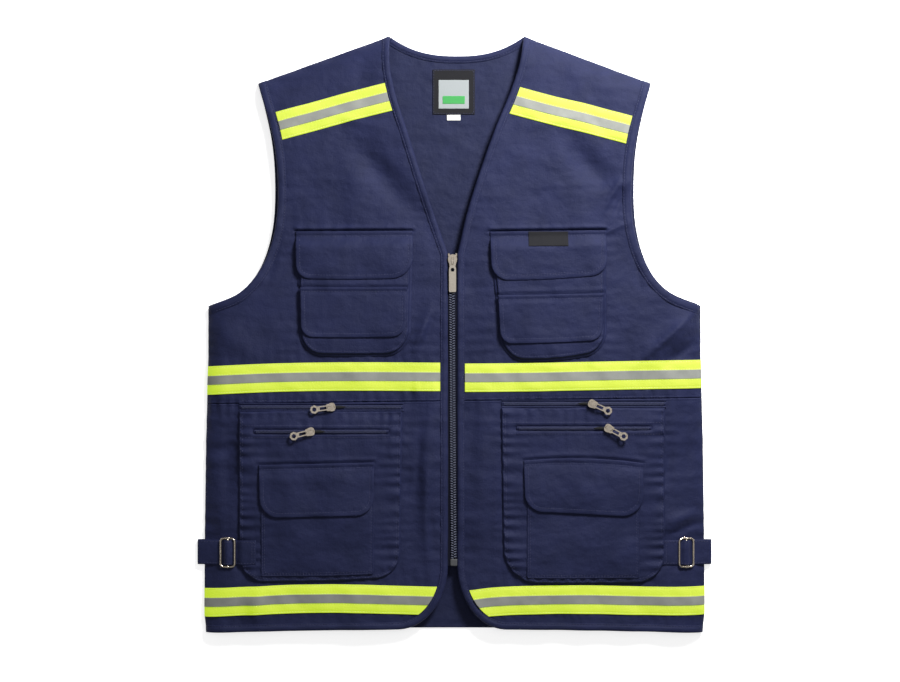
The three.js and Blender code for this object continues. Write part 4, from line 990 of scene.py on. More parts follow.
def binding_section(width):
    """Section of a binding, as rows of (inward, rise above the cloth's underside)."""
    inner = [(width + 0.1, 0.8), (width, 1.7), (width - 0.5, 2.3), (width - 1.6, 1.6), (width - 2.7, 2.5)]
    crown = [(width * 0.5, 3.0), (1.9, 2.8), (0.8, 2.4), (0, 1.7), (-0.45, 0.9), (-0.3, 0.1)]
    return inner + crown + [(0.4, -0.35), (2.5, -0.4), (width * 0.6, -0.4)]


def trimmed(path, limit):
    """Path whose points stay below a line."""
    return np.column_stack([path[:, 0], np.minimum(path[:, 1], limit(path[:, 0]))])


def binding(node, path, way, section, height, limit=back_top):
    """Binding along a path, that stands for a node of the solids."""
    piece = band(f"{node}_twill", path, way, section, height, BINDING, limit)
    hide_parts(node)
    return piece


def above_front(rise):
    """Height function of a level over the fronts' under side."""
    return lambda x, y: ground(x, y) + rise


def above_back(rise):
    """Height function of a level over the back's cloth."""
    return lambda x, y: back_surface(x, y) + rise


for side, sign in SIDES.items():
    hem_x = np.linspace(FRONT_EDGE[side][-1, 0], sign * 311.5, 30)[1:]
    hem = np.column_stack([hem_x, hem_height(hem_x)])
    edge = resampled(np.vstack([FRONT_EDGE[side], hem]), 2.4)
    edge = edge + 0.25 * noise(edge[:, 0], edge[:, 1], 30, 31)[:, None] * (1, 0)
    binding(f"front_band_{side}", edge, sign, binding_section(FRONT_BAND), ground)
    line = offset(edge, sign * (FRONT_BAND - 1.6))
    stitch("navy", line[3:], above_front(1.75))
    hole = FRONT_ARMHOLE * (sign, 1)
    hole = np.vstack([hole, hole[-1] + (hole[-1] - hole[-2]) * 2])
    binding(f"armhole_band_{side}", hole, sign, binding_section(ARMHOLE_BAND), ground)
    for inset in (1.6, 3.4):
        line = offset(resampled(FRONT_ARMHOLE * (sign, 1), 4), sign * (ARMHOLE_BAND - inset))
        stitch("navy", line[2:-1], above_front(2.35))
neck_x = np.linspace(neck_left + 2, neck_right - 2, 80)
neck_path = np.column_stack([neck_x, back_top(neck_x) - 0.3])
neck_section = [(into, max(rise, 0)) for into, rise in binding_section(NECK_BAND)]
neck_band = binding("back_neck_band", neck_path, -1, neck_section, back_ground, None)
stitch("navy", neck_path[3:-3] - (0, NECK_BAND - 1.6), lambda x, y: back_ground(x, y) + 2.3)
back_hem_x = np.linspace(-60, 60, 40)
stitch("navy", np.column_stack([back_hem_x, 12 + 0 * back_hem_x]), above_back(0.1))
print("binding widths", FRONT_BAND, ARMHOLE_BAND, NECK_BAND)

# %% [markdown]
# Reflective tapes are stitched down along both long edges only, so the middle of each one buckles a
# little. The silver film is a strip of its own on the lime knit.
# %% Lime tapes and silver film


def tape_relief(x, y, gap):
    """Rise of a tape over the cloth: flat at its stitched edges and buckled between them."""
    free = smooth((TAPE_WIDTH / 2 - np.abs(gap)) / 7)
    slant = 0.8 * noise(x + 0.8 * gap, gap * 0.3, 15, 41)
    return 1.1 + free * (0.5 + 0.8 * slant + 0.5 * noise(x, y, 27, 42))


def tape_grid(kind, side, outer, width):
    """Plan of a tape and the distance of each point from its middle line."""
    inner = trimmed(offset(resampled(FRONT_EDGE[side], 3), SIDES[side] * (FRONT_BAND + 0.4)), back_top)
    gap = width * (places(width, 2.2, (0, 0.25, 0.6, 1.1, 1.9, 2.7)) - 0.5)
    rise = gap * np.hypot(1, tape_slope(kind, side))
    ends = []
    for path in (inner, outer):
        x = across(path, TAPES[kind][0] + rise)
        for _ in range(12):
            x = 0.5 * x + 0.5 * across(path, tape_middle(kind, side, x) + rise)
        ends.append(x)
    share = places(float(np.abs(ends[1] - ends[0]).mean()), 2.8, (0, 0.3, 0.8, 1.6, 3))
    x = ends[0][:, None] + (ends[1] - ends[0])[:, None] * share
    return x, tape_middle(kind, side, x) + rise[:, None], gap[:, None] + 0 * x


tapes = []
for side, sign in SIDES.items():
    seam_y = np.linspace(0, ARMPIT, 60)
    seam = np.column_stack([sign * side_reach(seam_y), seam_y])
    hole = offset(resampled(FRONT_ARMHOLE * (sign, 1), 3), sign * (ARMHOLE_BAND + 0.4))
    for kind in TAPES:
        outer = hole if kind == "shoulder" else seam
        x, y, gap = tape_grid(kind, side, outer, TAPE_WIDTH)
        rim = TAPE_WIDTH / 2 - np.abs(gap)
        relief = tape_relief(x, y, gap) - edge_drop(rim, 0.6) + groove(rim, 1.9, 0.55, 0.35)
        relief += groove(np.abs(gap), SILVER_WIDTH / 2 + 0.9, 0.5, 0.2)
        under = front_surface(x, y)
        node = f"{kind}_tape_{side}"
        lime = layer(f"{node}_lime", x, y, under + relief, under - 0.3, GLOWING_LIME, node)
        for at in (TAPE_WIDTH / 2 - 1.9, SILVER_WIDTH / 2 + 0.9):
            for part in (-1, 1):
                row = int(np.argmin(np.abs(gap[:, 0] - part * at)))
                line = np.column_stack([x[row, 2:-2], y[row, 2:-2] + part * at - gap[row, 2:-2]])
                stitch("lime", line, on_top(f"{node}_lime"), 3.4, 2.5, 0.5)
        x, y, gap = tape_grid(kind, side, outer, SILVER_WIDTH)
        under = front_surface(x, y) + tape_relief(x, y, gap)
        top = under + 0.4 - edge_drop(SILVER_WIDTH / 2 - np.abs(gap), 0.3)
        node = f"{kind}_silver_{side}"
        silver = layer(f"{node}_film", x, y, top, under - 0.3, SILVER, node)
        tapes += [lime, silver]
print("tapes", len(tapes))

# %% [markdown]
# Pockets. A pouch or flap is a grid with rounded corners: its points near a corner are drawn onto
# circles, so the rim is a true round. Cloth doesn't hang square, so each piece then leans and sags a
# little. Rims roll down, and a flap's top edge is a raised fold with a stitched line below it.
# %% Plan of a pocket piece


def hung(node, x, y):
    """Plan of a pocket piece as it hangs, from its square plan."""
    low, high = box_mm(node)
    (top_left, top_right, low_left, low_right), tops, lows, _ = HANG[node]
    share = np.clip((x - low[0]) / (high[0] - low[0]), 0, 1)
    down = np.clip((high[1] - y) / (high[1] - low[1]), 0, 1)
    left = top_left + (low_left - top_left) * down
    right = top_right + (low_right - top_right) * down
    rise = y + parabola(share, tops) * (1 - down) + parabola(share, lows) * down
    return x + left + (right - left) * share, rise


def rounded_grid(low, high, corners=(0, 0), step=2.6, fine=FINE):
    """Plan of a rectangle with two rounded lower corners, and each point's distance from its outline
    and from its top edge."""
    x = low[0] + (high[0] - low[0]) * places(high[0] - low[0], step, fine)
    y = low[1] + (high[1] - low[1]) * places(high[1] - low[1], step, fine)
    x, y = np.meshgrid(x, y)
    edge = np.minimum(np.minimum(x - low[0], high[0] - x), np.minimum(y - low[1], high[1] - y))
    top_gap = high[1] - y
    for to_side, away, radius in ((x - low[0], 1, corners[0]), (high[0] - x, -1, corners[1])):
        if radius:
            p, q = 1 - to_side / radius, 1 - (y - low[1]) / radius
            inside = (p > 0) & (q > 0)
            ratio = np.where(inside, np.maximum(p, q) / np.maximum(np.hypot(p, q), 1e-9), 1)
            x = np.where(inside, x + away * radius * p * (1 - ratio), x)
            y = np.where(inside, y + radius * q * (1 - ratio), y)
    return x, y, edge, top_gap


def hung_grid(node, step=2.6):
    """Rounded grid of a pocket piece as it hangs."""
    low, high = box_mm(node)
    x, y, edge, top_gap = rounded_grid(low, high, HANG[node][3], step)
    return (*hung(node, x, y), edge, top_gap)


def hung_path(node, inset):
    """Line along a pocket piece's left side, bottom and right side, at a distance from its edge."""
    low, high = box_mm(node)
    x0, y0, x1, y1 = low[0] + inset, low[1] + inset, high[0] - inset, high[1] - inset
    left_corner, right_corner = (max(radius - inset, 0.5) for radius in HANG[node][3])
    turn = np.linspace(0, np.pi / 2, 8)[:, None]
    left = (x0, y0) + left_corner * (1 - np.hstack([np.cos(turn), np.sin(turn)]))
    right = (x1, y0) + right_corner * np.hstack([np.sin(turn) - 1, 1 - np.cos(turn)])
    path = resampled(np.vstack([[(x0, y1)], left, right, [(x1, y1)]]), 4)
    return np.column_stack(hung(node, path[:, 0], path[:, 1]))


def top_line(node, gap, inset):
    """Line below a pocket piece's top edge."""
    low, high = box_mm(node)
    x = np.linspace(low[0] + inset, high[0] - inset, 30)
    return np.column_stack(hung(node, x, np.full(30, high[1] - gap)))


print("rim of a cargo panel", len(hung_path("cargo_panel_left", 2.2)), "points")

# %% [markdown]
# Then the relief. Layers of a pocket share one slow swell, so that they don't cut each other, and
# each adds its own rolled rim, puckers and seams.
# %% Relief of a pocket piece


def swell(x, y):
    """Soft unevenness that all layers of a pocket share."""
    return 0.8 * noise(x, y, 34, 91) + 0.6 * noise(x, y, 62, 92)


def rim_waves(x, y, edge, node, height, pitch, reach, seed):
    """Puckers along the rim of a pocket: level ones at its sides and upright ones at its ends."""
    low, high = box_mm(node)
    side_gap = np.maximum(np.minimum(x - low[0], high[0] - x), 0)
    end_gap = np.maximum(np.minimum(y - low[1], high[1] - y), 0)
    other = 37.0 * (x > (low[0] + high[0]) / 2)
    level = puckers(side_gap, y + other, reach, pitch, height, seed)
    upright = puckers(end_gap, x, 0.7 * reach, 1.2 * pitch, 0.6 * height, seed + 3)
    return (level + upright) * smooth(edge / 3)


def crowned(level, edge, drop, crown):
    """Rise of a pocket piece: its rim rolls down by a radius and its middle stands up by a crown."""
    return level - edge_drop(edge, drop) - crown * np.exp(-edge / 9)


def flap_waves(x, y, edge, node, lift, seed):
    """Relief of a flap: its free lower corners lift, and it is stitched inside its edge."""
    low, high = box_mm(node)
    side_gap = np.maximum(np.minimum(x - low[0], high[0] - x), 0)
    corner = np.exp(-side_gap / 16 - np.maximum(y - low[1], 0) / 14)
    body = 0.35 * noise(x, y, 40, seed) + 0.25 * noise(x, y, 17, seed + 1)
    rim = 0.15 * np.exp(-(((edge - 2.6) / 1.4) ** 2)) + groove(edge, 5.2, 0.8, 0.28)
    return lift * corner + body * smooth(edge / 6) + rim


def sewn_top(rise, edge, top_gap, fold, line, reach):
    """Rise of a flap that is sewn down along its top: a fold, a stitched line, then it lifts."""
    start = fold - edge_drop(edge, 1.2) + groove(top_gap, line, 1.5, 1.2)
    return start + (rise - start) * smooth((top_gap - line + 1) / reach)


def slab(node, x, y, rise, base, skirt=(), ending="cloth", material=TWILL):
    """Cloth piece at a rise over the fronts, above a base or 1.7 thick where it has no skirt."""
    under, soft = ground(x, y), swell(x, y)
    low_rise = base if skirt else np.maximum(rise - 1.7, np.minimum(base, rise - 0.2))
    low = under + np.minimum(soft, 0) + low_rise
    return layer(f"{node}_{ending}", x, y, under + soft + rise, low, material, node, skirt)


def rim_seam(node, *insets, ends=0):
    """Stitches along a pocket piece's sides and bottom, at distances from its edge."""
    for inset in insets:
        line = hung_path(node, inset)
        stitch("navy", line[ends : len(line) - ends], on_top(f"{node}_cloth"))


print("swell at the left pouch", round(float(swell(np.array(-125.0), np.array(450.0))), 2))

# %% [markdown]
# The twelve pieces, from the cloth up. A pouch stands on bellows, folds of cloth that bulge out
# below its rim, and a flap covers its mouth. Rises are measured from the front's under side.
# %% The pocket pieces
BELLOWS = [(-1.4, 0.95), (1.4, 0.76), (3.0, 0.56), (3.2, 0.33), (1.5, 0.07)]
POUCH_RISE = 6.6
PANEL_RISE = 5.6
PATCH_RISE = 6.9
MOUTH_RISE = 1.2
FLAP_SEAM = 5.2

# Flaps: rise, crown, lift of the corners, seed, base, fold, stitched line below it, reach of the lift
FLAPS = {
    "chest_flap": (8.9, 1.4, 0.9, 61, 1.0, 2.9, 6.0, 16.0),
    "chest_lower_flap": (8.7, 0.5, 0.6, 66, 6.8, 8.6, 5.0, 8.0),
    "cargo_flap": (9.9, 0.6, 0.9, 86, 5.6, 8.0, 6.0, 16.0),
}


def flap(kind, side):
    """Flap that is sewn down along its top and stitched inside its edge."""
    node = f"{kind}_{side}"
    level, crown, lift, seed, base, fold, line, reach = FLAPS[kind]
    x, y, edge, top_gap = hung_grid(node)
    rise = crowned(level, edge, 0.9, crown) + flap_waves(x, y, edge, node, lift, seed)
    piece = slab(node, x, y, sewn_top(rise, edge, top_gap, fold, line, reach), base)
    rim_seam(node, FLAP_SEAM, ends=1)
    if node == "chest_flap_right":
        rim_seam(node, 7.0, ends=1)
    stitch("navy", top_line(node, line, 2), on_top(f"{node}_cloth"))
    return piece


def pouch(side):
    """Bellows pouch, whose mouth lies on the front under the flaps."""
    node = f"chest_pouch_{side}"
    x, y, edge, top_gap = hung_grid(node)
    rise = crowned(POUCH_RISE, edge, 2.0, 1.2) + rim_waves(x, y, edge, node, 0.8, 16, 12, 51)
    rise = rise + ditch(x, y, f"chest_lower_flap_{side}", 1.7) + groove(edge, 3.4, 0.8, 0.3)
    rise = MOUTH_RISE + (rise - MOUTH_RISE) * smooth(top_gap / 18)
    piece = slab(node, x, y, rise, 1.2, BELLOWS)
    rim_seam(node, 3.4)
    return piece


def panel(side):
    """Cargo panel, with a zip between two welts."""
    node = f"cargo_panel_{side}"
    zip_low, zip_high = box_mm(f"lower_zip_{side}")
    zip_y = (zip_low[1] + zip_high[1]) / 2
    x, y, edge, _ = hung_grid(node, 2.0)
    away = np.abs(y - zip_y)
    inside = smooth((x - zip_low[0] + 3) / 4) * smooth((zip_high[0] + 3 - x) / 4)
    welts = 0.9 * np.exp(-(((away - 5.2) / 1.8) ** 2)) - 1.6 * smooth(1 - (away - 2.4) / 1.6)
    rise = crowned(PANEL_RISE, edge, 1.5, 1.5) + rim_waves(x, y, edge, node, 2.2, 13, 17, 71)
    rise = rise + inside * welts + puckers(away, x, 12, 13, 0.6, 77) * smooth(edge / 8)
    rise = rise + ditch(x, y, f"cargo_flap_{side}", 1.6) + groove(edge, 4.4, 0.8, 0.35)
    piece = slab(node, x, y, rise, 1.2, [(0.5, 0.96), (0.6, 0.48)])
    rim_seam(node, 2.2, 4.4)
    low, high = box_mm(node)
    for gap in (-7.2, 7.2):
        line = np.array([(low[0] + 5, zip_y + gap), (high[0] - 5, zip_y + gap)])
        stitch("navy", line, on_top(f"{node}_cloth"))
    return piece


def patch(side):
    """Patch pocket on the panel, which sinks towards the panel's bottom."""
    node = f"cargo_patch_{side}"
    panel_low = box_mm(f"cargo_panel_{side}")[0]
    x, y, edge, _ = hung_grid(node)
    rise = PATCH_RISE - edge_drop(edge, 0.7) + rim_waves(x, y, edge, node, 0.4, 15, 12, 81)
    rise = rise + groove(edge, 2.0, 0.7, 0.35) - 1.6 * np.exp(-(y - panel_low[1]) / 9)
    piece = slab(node, x, y, rise, 4.0, [(0.2, 0.7)])
    rim_seam(node, 2.0, 4.0)
    return piece


pockets = []
for side in SIDES:
    pockets += [pouch(side), flap("chest_flap", side), flap("chest_lower_flap", side)]
    pockets += [panel(side), patch(side), flap("cargo_flap", side)]
print("pocket pieces", len(pockets))

# %% [markdown]
# Zips. Teeth and coils are many small blocks, joined into one piece for each zip, so that a
# viewer has few pieces to draw. Their cloth is a plain strip, which labels can share.
# %% Blocks and strips


def blocks(name, centres, size, turns, material):
    """Blocks of one size with tapered tops, at centres and turned about the vertical."""
    corner = np.array([(-0.5, -0.5), (0.5, -0.5), (0.5, 0.5), (-0.5, 0.5)])
    rings = []
    for shrink, rise in ((0.96, 0), (1, 0.5), (0.72, 1)):
        rings.append(np.column_stack([corner * shrink, np.full(4, rise)]))
    along, across, up = (np.vstack(rings) * size).T
    c, s = np.cos(turns)[:, None], np.sin(turns)[:, None]
    points = np.stack([along * c - across * s, along * s + across * c, up + 0 * c], axis=-1)
    points = points + centres[:, None]
    faces = [(3, 2, 1, 0), (8, 9, 10, 11)]
    for low in (0, 4):
        faces += [(low + k, low + (k + 1) % 4, low + 4 + (k + 1) % 4, low + 4 + k) for k in range(4)]
    start = np.arange(len(points))[:, None] * 12
    every = [corners for face in faces for corners in (start + np.array(face)).tolist()]
    return new_piece(name, points.reshape(-1, 3), every, material, rounded=False)


def strip(name, low, high, level, material, node=None, step=4.0, edge=0.4, depth=1.0, height=ground):
    """Flat strip that lies at a level over other cloth, with edges that roll down."""
    x, y, gap, _ = rounded_grid(low, high, (0, 0), step, (0, 0.4, 1.0))
    middle = height(x, y) + level
    return layer(name, x, y, middle - edge_drop(gap, edge), middle - depth, material, node)


def middle_of(node):
    """Middle of a node of the solids."""
    low, high = box_mm(node)
    return (low + high) / 2


print("upper left slider at", np.round(middle_of("upper_zip_left_slider"), 1))

# %% [markdown]
# The main zip has moulded teeth that interlock, so each side's teeth sit half a pitch from the
# other's. Its chain wanders between the front edges, up from a moulded box to two metal stops.
# %% The main zip
CHAIN_PITCH = 3.1
CHAIN_WIDTH = 7.6
ZIP_BOTTOM = 83.5
BOX_LENGTH = 8.8
SLIDER_LENGTH = 16.3
TOOTH = (3.5, 1.3, 2.3)
TOOTH_TURN = 0.28
STOP = (2.6, 4.2, 2.2)


def chain_x(y):
    """The chain's middle: it drifts a little between the two front edges."""
    return np.interp(y, (92, 250, 420, 458), (-0.9, -2.2, -3.3, -2.5))


low, high = (ZIP_CENTRE - 12, ZIP_BOTTOM), (ZIP_CENTRE + 12, V_HEIGHT - 1)
strip("main_zip_cloth", low, high, 0.0, ZIP_CLOTH, "main_zip_chain", depth=1.3)
chain_y = np.arange(ZIP_BOTTOM + BOX_LENGTH + 1.5, V_HEIGHT - SLIDER_LENGTH + 1, CHAIN_PITCH)
centres, turns = [], []
for part in (-1, 1):
    y = chain_y + (part > 0) * CHAIN_PITCH / 2
    x = chain_x(y) + part * CHAIN_WIDTH * 0.235
    centres.append(np.column_stack([x, y, ground(x, y) - 0.1]))
    turns.append(np.full(len(y), TOOTH_TURN * part))
teeth = blocks("main_zip_teeth", np.vstack(centres), TOOTH, np.concatenate(turns), ZIP_TEETH)
stop_x = np.array([ZIP_CENTRE - 4.6, ZIP_CENTRE + 4.6])
stop_y = np.full(2, V_HEIGHT - 0.5)
stops = np.column_stack([stop_x, stop_y, ground(stop_x, stop_y) + 1.2])
stops = blocks("main_zip_stops", stops, STOP, np.zeros(2), NICKEL)
low, high = box_mm("main_zip_box")
shift = (float(chain_x(92)) - ZIP_CENTRE, 0, 0)
x, y, edge, _ = rounded_grid(low + shift, high + shift, (1.5, 1.5), 1.2, (0, 0.3, 0.8))
rise = 2.6 - edge_drop(edge, 0.8)
slab("main_zip_box", x, y, rise, -0.2, ending="body", material=ZIP_BOX)
print("teeth", len(chain_y) * 2)

# %% [markdown]
# A pocket zip is a nylon coil on a strip of cloth that folds at both sides of it. The coil is drawn
# as short bars that lean to alternate sides. Past its slider the zip is open a little, and the shade
# in that gap is painted, as a near-black lens.
# %% The pocket zips
COIL_PITCH = 0.85
COIL_LEAN = 0.35
FOLD_DEPTH = 1.7
MOUTH_LENGTH = 15
MOUTH_START = 4
MOUTH_HALF = 2.3


def coil_bed(middle, width):
    """Height function of a pocket zip's cloth, with a fold at each side of the coil."""

    def height(x, y):
        """The front, less two narrow grooves beside the coil."""
        away = np.abs(y - middle) - width * 0.6
        return ground(x, y) - FOLD_DEPTH * np.exp(-((away / 0.6) ** 2))

    return height


def pocket_zip(kind, side, level, width, spread):
    """Cloth, coil and mouth of a pocket's zip, the mouth a near-black lens of painted shade."""
    node = f"{kind}_zip_{side}"
    low, high = box_mm(node)
    middle = (low[1] + high[1]) / 2
    bed = coil_bed(middle, width)
    strip(f"{node}_cloth", low, high, level, BINDING, node, 0.8, height=bed)
    x = np.arange(low[0] + 3, high[0] - 3, COIL_PITCH)
    way = (-1.0) ** np.arange(len(x))
    y = middle + 0.9 * spread * way
    centres = np.column_stack([x, y, ground(x, y) + level - 0.2])
    coil = blocks(f"{node}_coil", centres, (0.75, width * 0.5, 1.0), COIL_LEAN * way, COIL)
    slider_x, pull_x = middle_of(f"{node}_slider")[0], middle_of(f"{node}_pull")[0]
    share = np.linspace(0, 1, 12)
    lens = np.sin(np.pi * np.clip(share * 0.9 + 0.1, 0, 1)) ** 0.7
    half = MOUTH_HALF * lens * (1 - 0.4 * share) + 0.02
    x = np.tile(slider_x + np.sign(slider_x - pull_x) * (MOUTH_START + MOUTH_LENGTH * share), (3, 1))
    y = middle + np.outer((-1, 0, 1), half)
    top = ground(x, y) + level + 1.1
    # Painted shade: a near-black sheet over the coil where the zip gapes.
    layer(f"{node}_mouth", x, y, top, top - 1.2, SHADOW_CLOTH)


for side in SIDES:
    pocket_zip("upper", side, 3.0, 4.4, 1.0)
    pocket_zip("lower", side, 6.0, 3.8, 0.9)
    low, high = box_mm(f"upper_zip_{side}")
    line = np.array([(low[0] + 2, high[1] + 3.1), (high[0] - 2, high[1] + 3.1)])
    stitch("navy", line, lambda x, y: front_surface(x, y) + 0.1)
print("pocket zips", 2 * len(SIDES))

# %% [markdown]
# Sliders and pulls keep their solids, which have the right shape. A bevel softens their edges, as
# on the plated castings.
# %% Sliders and pulls


def cad_object(node):
    """Object of a node of the solids, also where its name has a number at the end."""
    found = bpy.data.objects.get(node)
    return found or next(o for o in bpy.data.objects if o.name.split(".")[0] == node)


zips = ["main_zip", *(f"{kind}_zip_{side}" for kind in ("upper", "lower") for side in SIDES)]
for name in zips:
    for part in ("slider", "pull"):
        metal_piece = cad_object(f"{name}_{part}")
        for held in metal_piece.material_slots:
            held.material = BRUSHED if name == "main_zip" and part == "pull" else NICKEL
        bevel = metal_piece.modifiers.new("rounded edges", "BEVEL")
        bevel.width = 0.5 * MM
        bevel.segments = 2
        bevel.limit_method = "ANGLE"
        bevel.angle_limit = np.radians(30)
print("sliders and pulls", 2 * len(zips))

# %% [markdown]
# Side straps and wire buckles. A strap is one section carried along a route, and a wire is a round
# section along a path. Cutting corners three times turns a few points into a smooth path.
# %% Smooth paths and wires
WIRE = 2.6
BUCKLE_WIDTH = 20.5
BUCKLE_HEIGHT = 38
BUCKLE_CORNER = 4.0
KNOB = [(-2.6, 0.3), (-2.4, 1.0), (-1.6, 1.55), (0, 1.8), (1.6, 1.55), (2.4, 1.0), (2.6, 0.3)]


def eased(path, rounds=3):
    """Corner-cutting: each round puts points a quarter and three quarters along every piece."""
    for _ in range(rounds):
        near = path[:-1] * 0.75 + path[1:] * 0.25
        far = path[:-1] * 0.25 + path[1:] * 0.75
        middle = np.stack([near, far], axis=1).reshape(-1, path.shape[1])
        path = np.vstack([path[:1], middle, path[-1:]])
    return path


def wire(name, path, closed=False):
    """Round nickel wire along a path of points."""
    if closed:
        step = np.roll(path, -1, 0) - np.roll(path, 1, 0)
    else:
        step = np.gradient(path, axis=0)
    step /= np.linalg.norm(step, axis=1, keepdims=True)
    across = np.cross(step, (0, 0, 1.0))
    across /= np.maximum(np.linalg.norm(across, axis=1, keepdims=True), 1e-9)
    over = np.cross(across, step)
    turn = np.linspace(0, 2 * np.pi, 12, endpoint=False)[None, :, None]
    rings = path[:, None] + WIRE / 2 * (np.cos(turn) * across[:, None] + np.sin(turn) * over[:, None])
    return new_piece(name, *tube_mesh(rings, closed), NICKEL)


def buckle_plane(side):
    """A buckle's middle and half width, the height of its bar, and how its ring falls to the side."""
    low, high = box_mm(f"buckle_{side}")
    half = (BUCKLE_WIDTH - WIRE) / 2
    slope = np.clip((high[2] - low[2] - WIRE) / (2 * half), 0, 1)
    return abs(low[0] + high[0]) / 2, half, (low[2] + high[2]) / 2, slope


print("left buckle's middle, half width, bar and slope", np.round(buckle_plane("left"), 2))

# %% [markdown]
# The strap comes from its stitched end on the pocket, passes under the outer wires and over the
# bar, and goes round the side seam to the back. A flat sheet was the other way, but its edges show.
# %% Section and route of a strap
STRAP_WIDTH = 31
STRAP_THICKNESS = 1.2
STRAP_OVERHANG = 9
STRAP_OVERLAP = {"left": 19, "right": 2.5}
STRAP_START_LEVEL = {"left": 5.9, "right": 1.6}
STRAP_BACK = 70
HALF_STRAP = STRAP_WIDTH / 2


def strap_section():
    """Rows across the webbing and its thickness there: thin at the edges, grooved at the stitches."""
    rim = HALF_STRAP - np.array([0, 0.15, 0.6, 2.2, 3.2])
    across = np.array([*-rim, -6, 6, *rim[::-1]])
    gap = HALF_STRAP - np.abs(across)
    thick = 0.5 * np.minimum(1, (gap + 0.1) / 0.7) - 0.15 * ((gap > 2) & (gap < 2.6))
    return np.concatenate([across, across[::-1]]), np.concatenate([thick, -thick[::-1]])


def strap_route(side, sign, start, pocket_edge, seam):
    """Points (reach, height) of a strap's middle, from its start on the pocket round to the back."""
    middle, half, bar_z, slope = buckle_plane(side)
    thick = STRAP_THICKNESS / 2
    clear = WIRE / 2 + 0.3 + thick

    def lying(reach, level):
        """On the cloth: the level over the front, plus half the webbing."""
        return float(ground(sign * reach, STRAP_HEIGHT)) + level + thick

    def below_ring(reach):
        """Under the ring's wire, or on the cloth where that is lower."""
        return reach, min(lying(reach, 1.9), bar_z - (reach - middle) * slope - clear)

    level = STRAP_START_LEVEL[side]
    route = [(reach, lying(reach, level)) for reach in (start, (start + pocket_edge) / 2, pocket_edge)]
    route += [below_ring(middle - half - 3), below_ring(middle - half + 2)]
    route += [(middle - 2.2, bar_z + clear + 0.3), (middle + 2.2, bar_z + clear + 0.3)]
    route += [below_ring(middle + half - 2), below_ring(middle + half + 3)]
    radius = (lying(seam, 2.0) - thick) / 2
    bend = seam + STRAP_OVERHANG - thick - radius
    turn = np.linspace(np.pi / 2, -np.pi / 2, 9)
    route += [(bend + radius * np.cos(t), thick + radius + radius * np.sin(t)) for t in turn]
    return np.array([*route, (seam - STRAP_BACK, thick)])


print("rows round the webbing", len(strap_section()[0]))

# %% [markdown]
# The webbing is those rows carried along the route, and its seams lie on its own top.
# %% A strap


def strap(side, sign):
    """Webbing along its route, with two long seams and two short ones at its inner end."""
    seam = float(side_reach(STRAP_HEIGHT))
    panel_low, panel_high = box_mm(f"cargo_panel_{side}")
    pocket_edge = abs(panel_low[0] if sign < 0 else panel_high[0])
    start = pocket_edge - STRAP_OVERLAP[side]
    path = resampled(eased(strap_route(side, sign, start, pocket_edge, seam)), 1.2)
    step = np.gradient(path, axis=0)
    step /= np.linalg.norm(step, axis=1, keepdims=True)
    normal = np.column_stack([-step[:, 1], step[:, 0]])
    across, thick = strap_section()
    place = path[:, None] + normal[:, None] * thick[:, None] * STRAP_THICKNESS
    rows = np.broadcast_to(STRAP_HEIGHT + across, place.shape[:2])
    rings = np.stack([sign * place[..., 0], rows, place[..., 1]], axis=-1)
    node = f"side_strap_{side}"
    piece = new_piece(f"{node}_twill", *tube_mesh(rings), BINDING)
    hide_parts(node)
    shown = path[: int(np.argmax(path[:, 0]))]

    def top(x, y):
        """Top of the webbing: half of its thickness over its route."""
        return np.interp(np.abs(x), shown[:, 0], shown[:, 1]) + STRAP_THICKNESS * 0.5

    for v in (2.2 - HALF_STRAP, HALF_STRAP - 2.2):
        height = STRAP_HEIGHT + v
        stitch("navy", [(sign * (start + 1.5), height), (sign * (seam + 5), height)], top)
    low, high = STRAP_HEIGHT - HALF_STRAP + 2, STRAP_HEIGHT + HALF_STRAP - 2
    for reach in (start + 2, start + 5):
        stitch("navy", [(sign * reach, low), (sign * reach, high)], top)


print("webbing", STRAP_WIDTH, "wide and", STRAP_THICKNESS, "thick")

# %% [markdown]
# A buckle is a bent wire ring with a bar across it, whose ends are hammered into small knobs. The
# ring tilts, because the webbing lifts its inner side.
# %% The straps with their buckles


def buckle(side, sign):
    """Wire buckle: a rounded ring, a bar across its middle, and a knob at each end of the bar."""
    middle, half_x, bar_z, slope = buckle_plane(side)
    half_y = (BUCKLE_HEIGHT - WIRE) / 2
    turn = np.linspace(0, np.pi / 2, 7)
    quarter = np.column_stack([np.cos(turn), np.sin(turn)]) * BUCKLE_CORNER
    ring = []
    for sx, sy in ((1, 1), (-1, 1), (-1, -1), (1, -1)):
        centre = (sx * (half_x - BUCKLE_CORNER), sy * (half_y - BUCKLE_CORNER))
        ring.append(quarter[:: sx * sy] * (sx, sy) + centre)
    ring = resampled(np.vstack([*ring, ring[0][:1]]), 1.3)[:-1]
    reach = middle + ring[:, 0]
    ring = np.column_stack([sign * reach, STRAP_HEIGHT + ring[:, 1], bar_z - (reach - middle) * slope])
    frame = wire(f"buckle_{side}_ring", ring, closed=True)
    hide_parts(f"buckle_{side}")
    bar = np.array([(sign * middle, STRAP_HEIGHT + v, bar_z) for v in np.linspace(-half_y, half_y, 9)])
    pieces = [frame, wire(f"buckle_{side}_bar", bar)]
    turn = np.linspace(0, 2 * np.pi, 12, endpoint=False)
    for end, place in ((-1, "low"), (1, "high")):
        rings = []
        for along, radius in KNOB:
            x = np.full(12, sign * middle + along)
            y = STRAP_HEIGHT + end * half_y + radius * np.cos(turn)
            rings.append(np.column_stack([x, y, bar_z + radius * np.sin(turn)]))
        pieces.append(new_piece(f"buckle_{side}_knob_{place}", *tube_mesh(np.stack(rings)), NICKEL))


for side, sign in SIDES.items():
    strap(side, sign)
    buckle(side, sign)
print("straps", len(SIDES))

# %% [markdown]
# Labels. All are bare woven tapes: the neck label has a plain grey field with a green bar.
# %% Labels


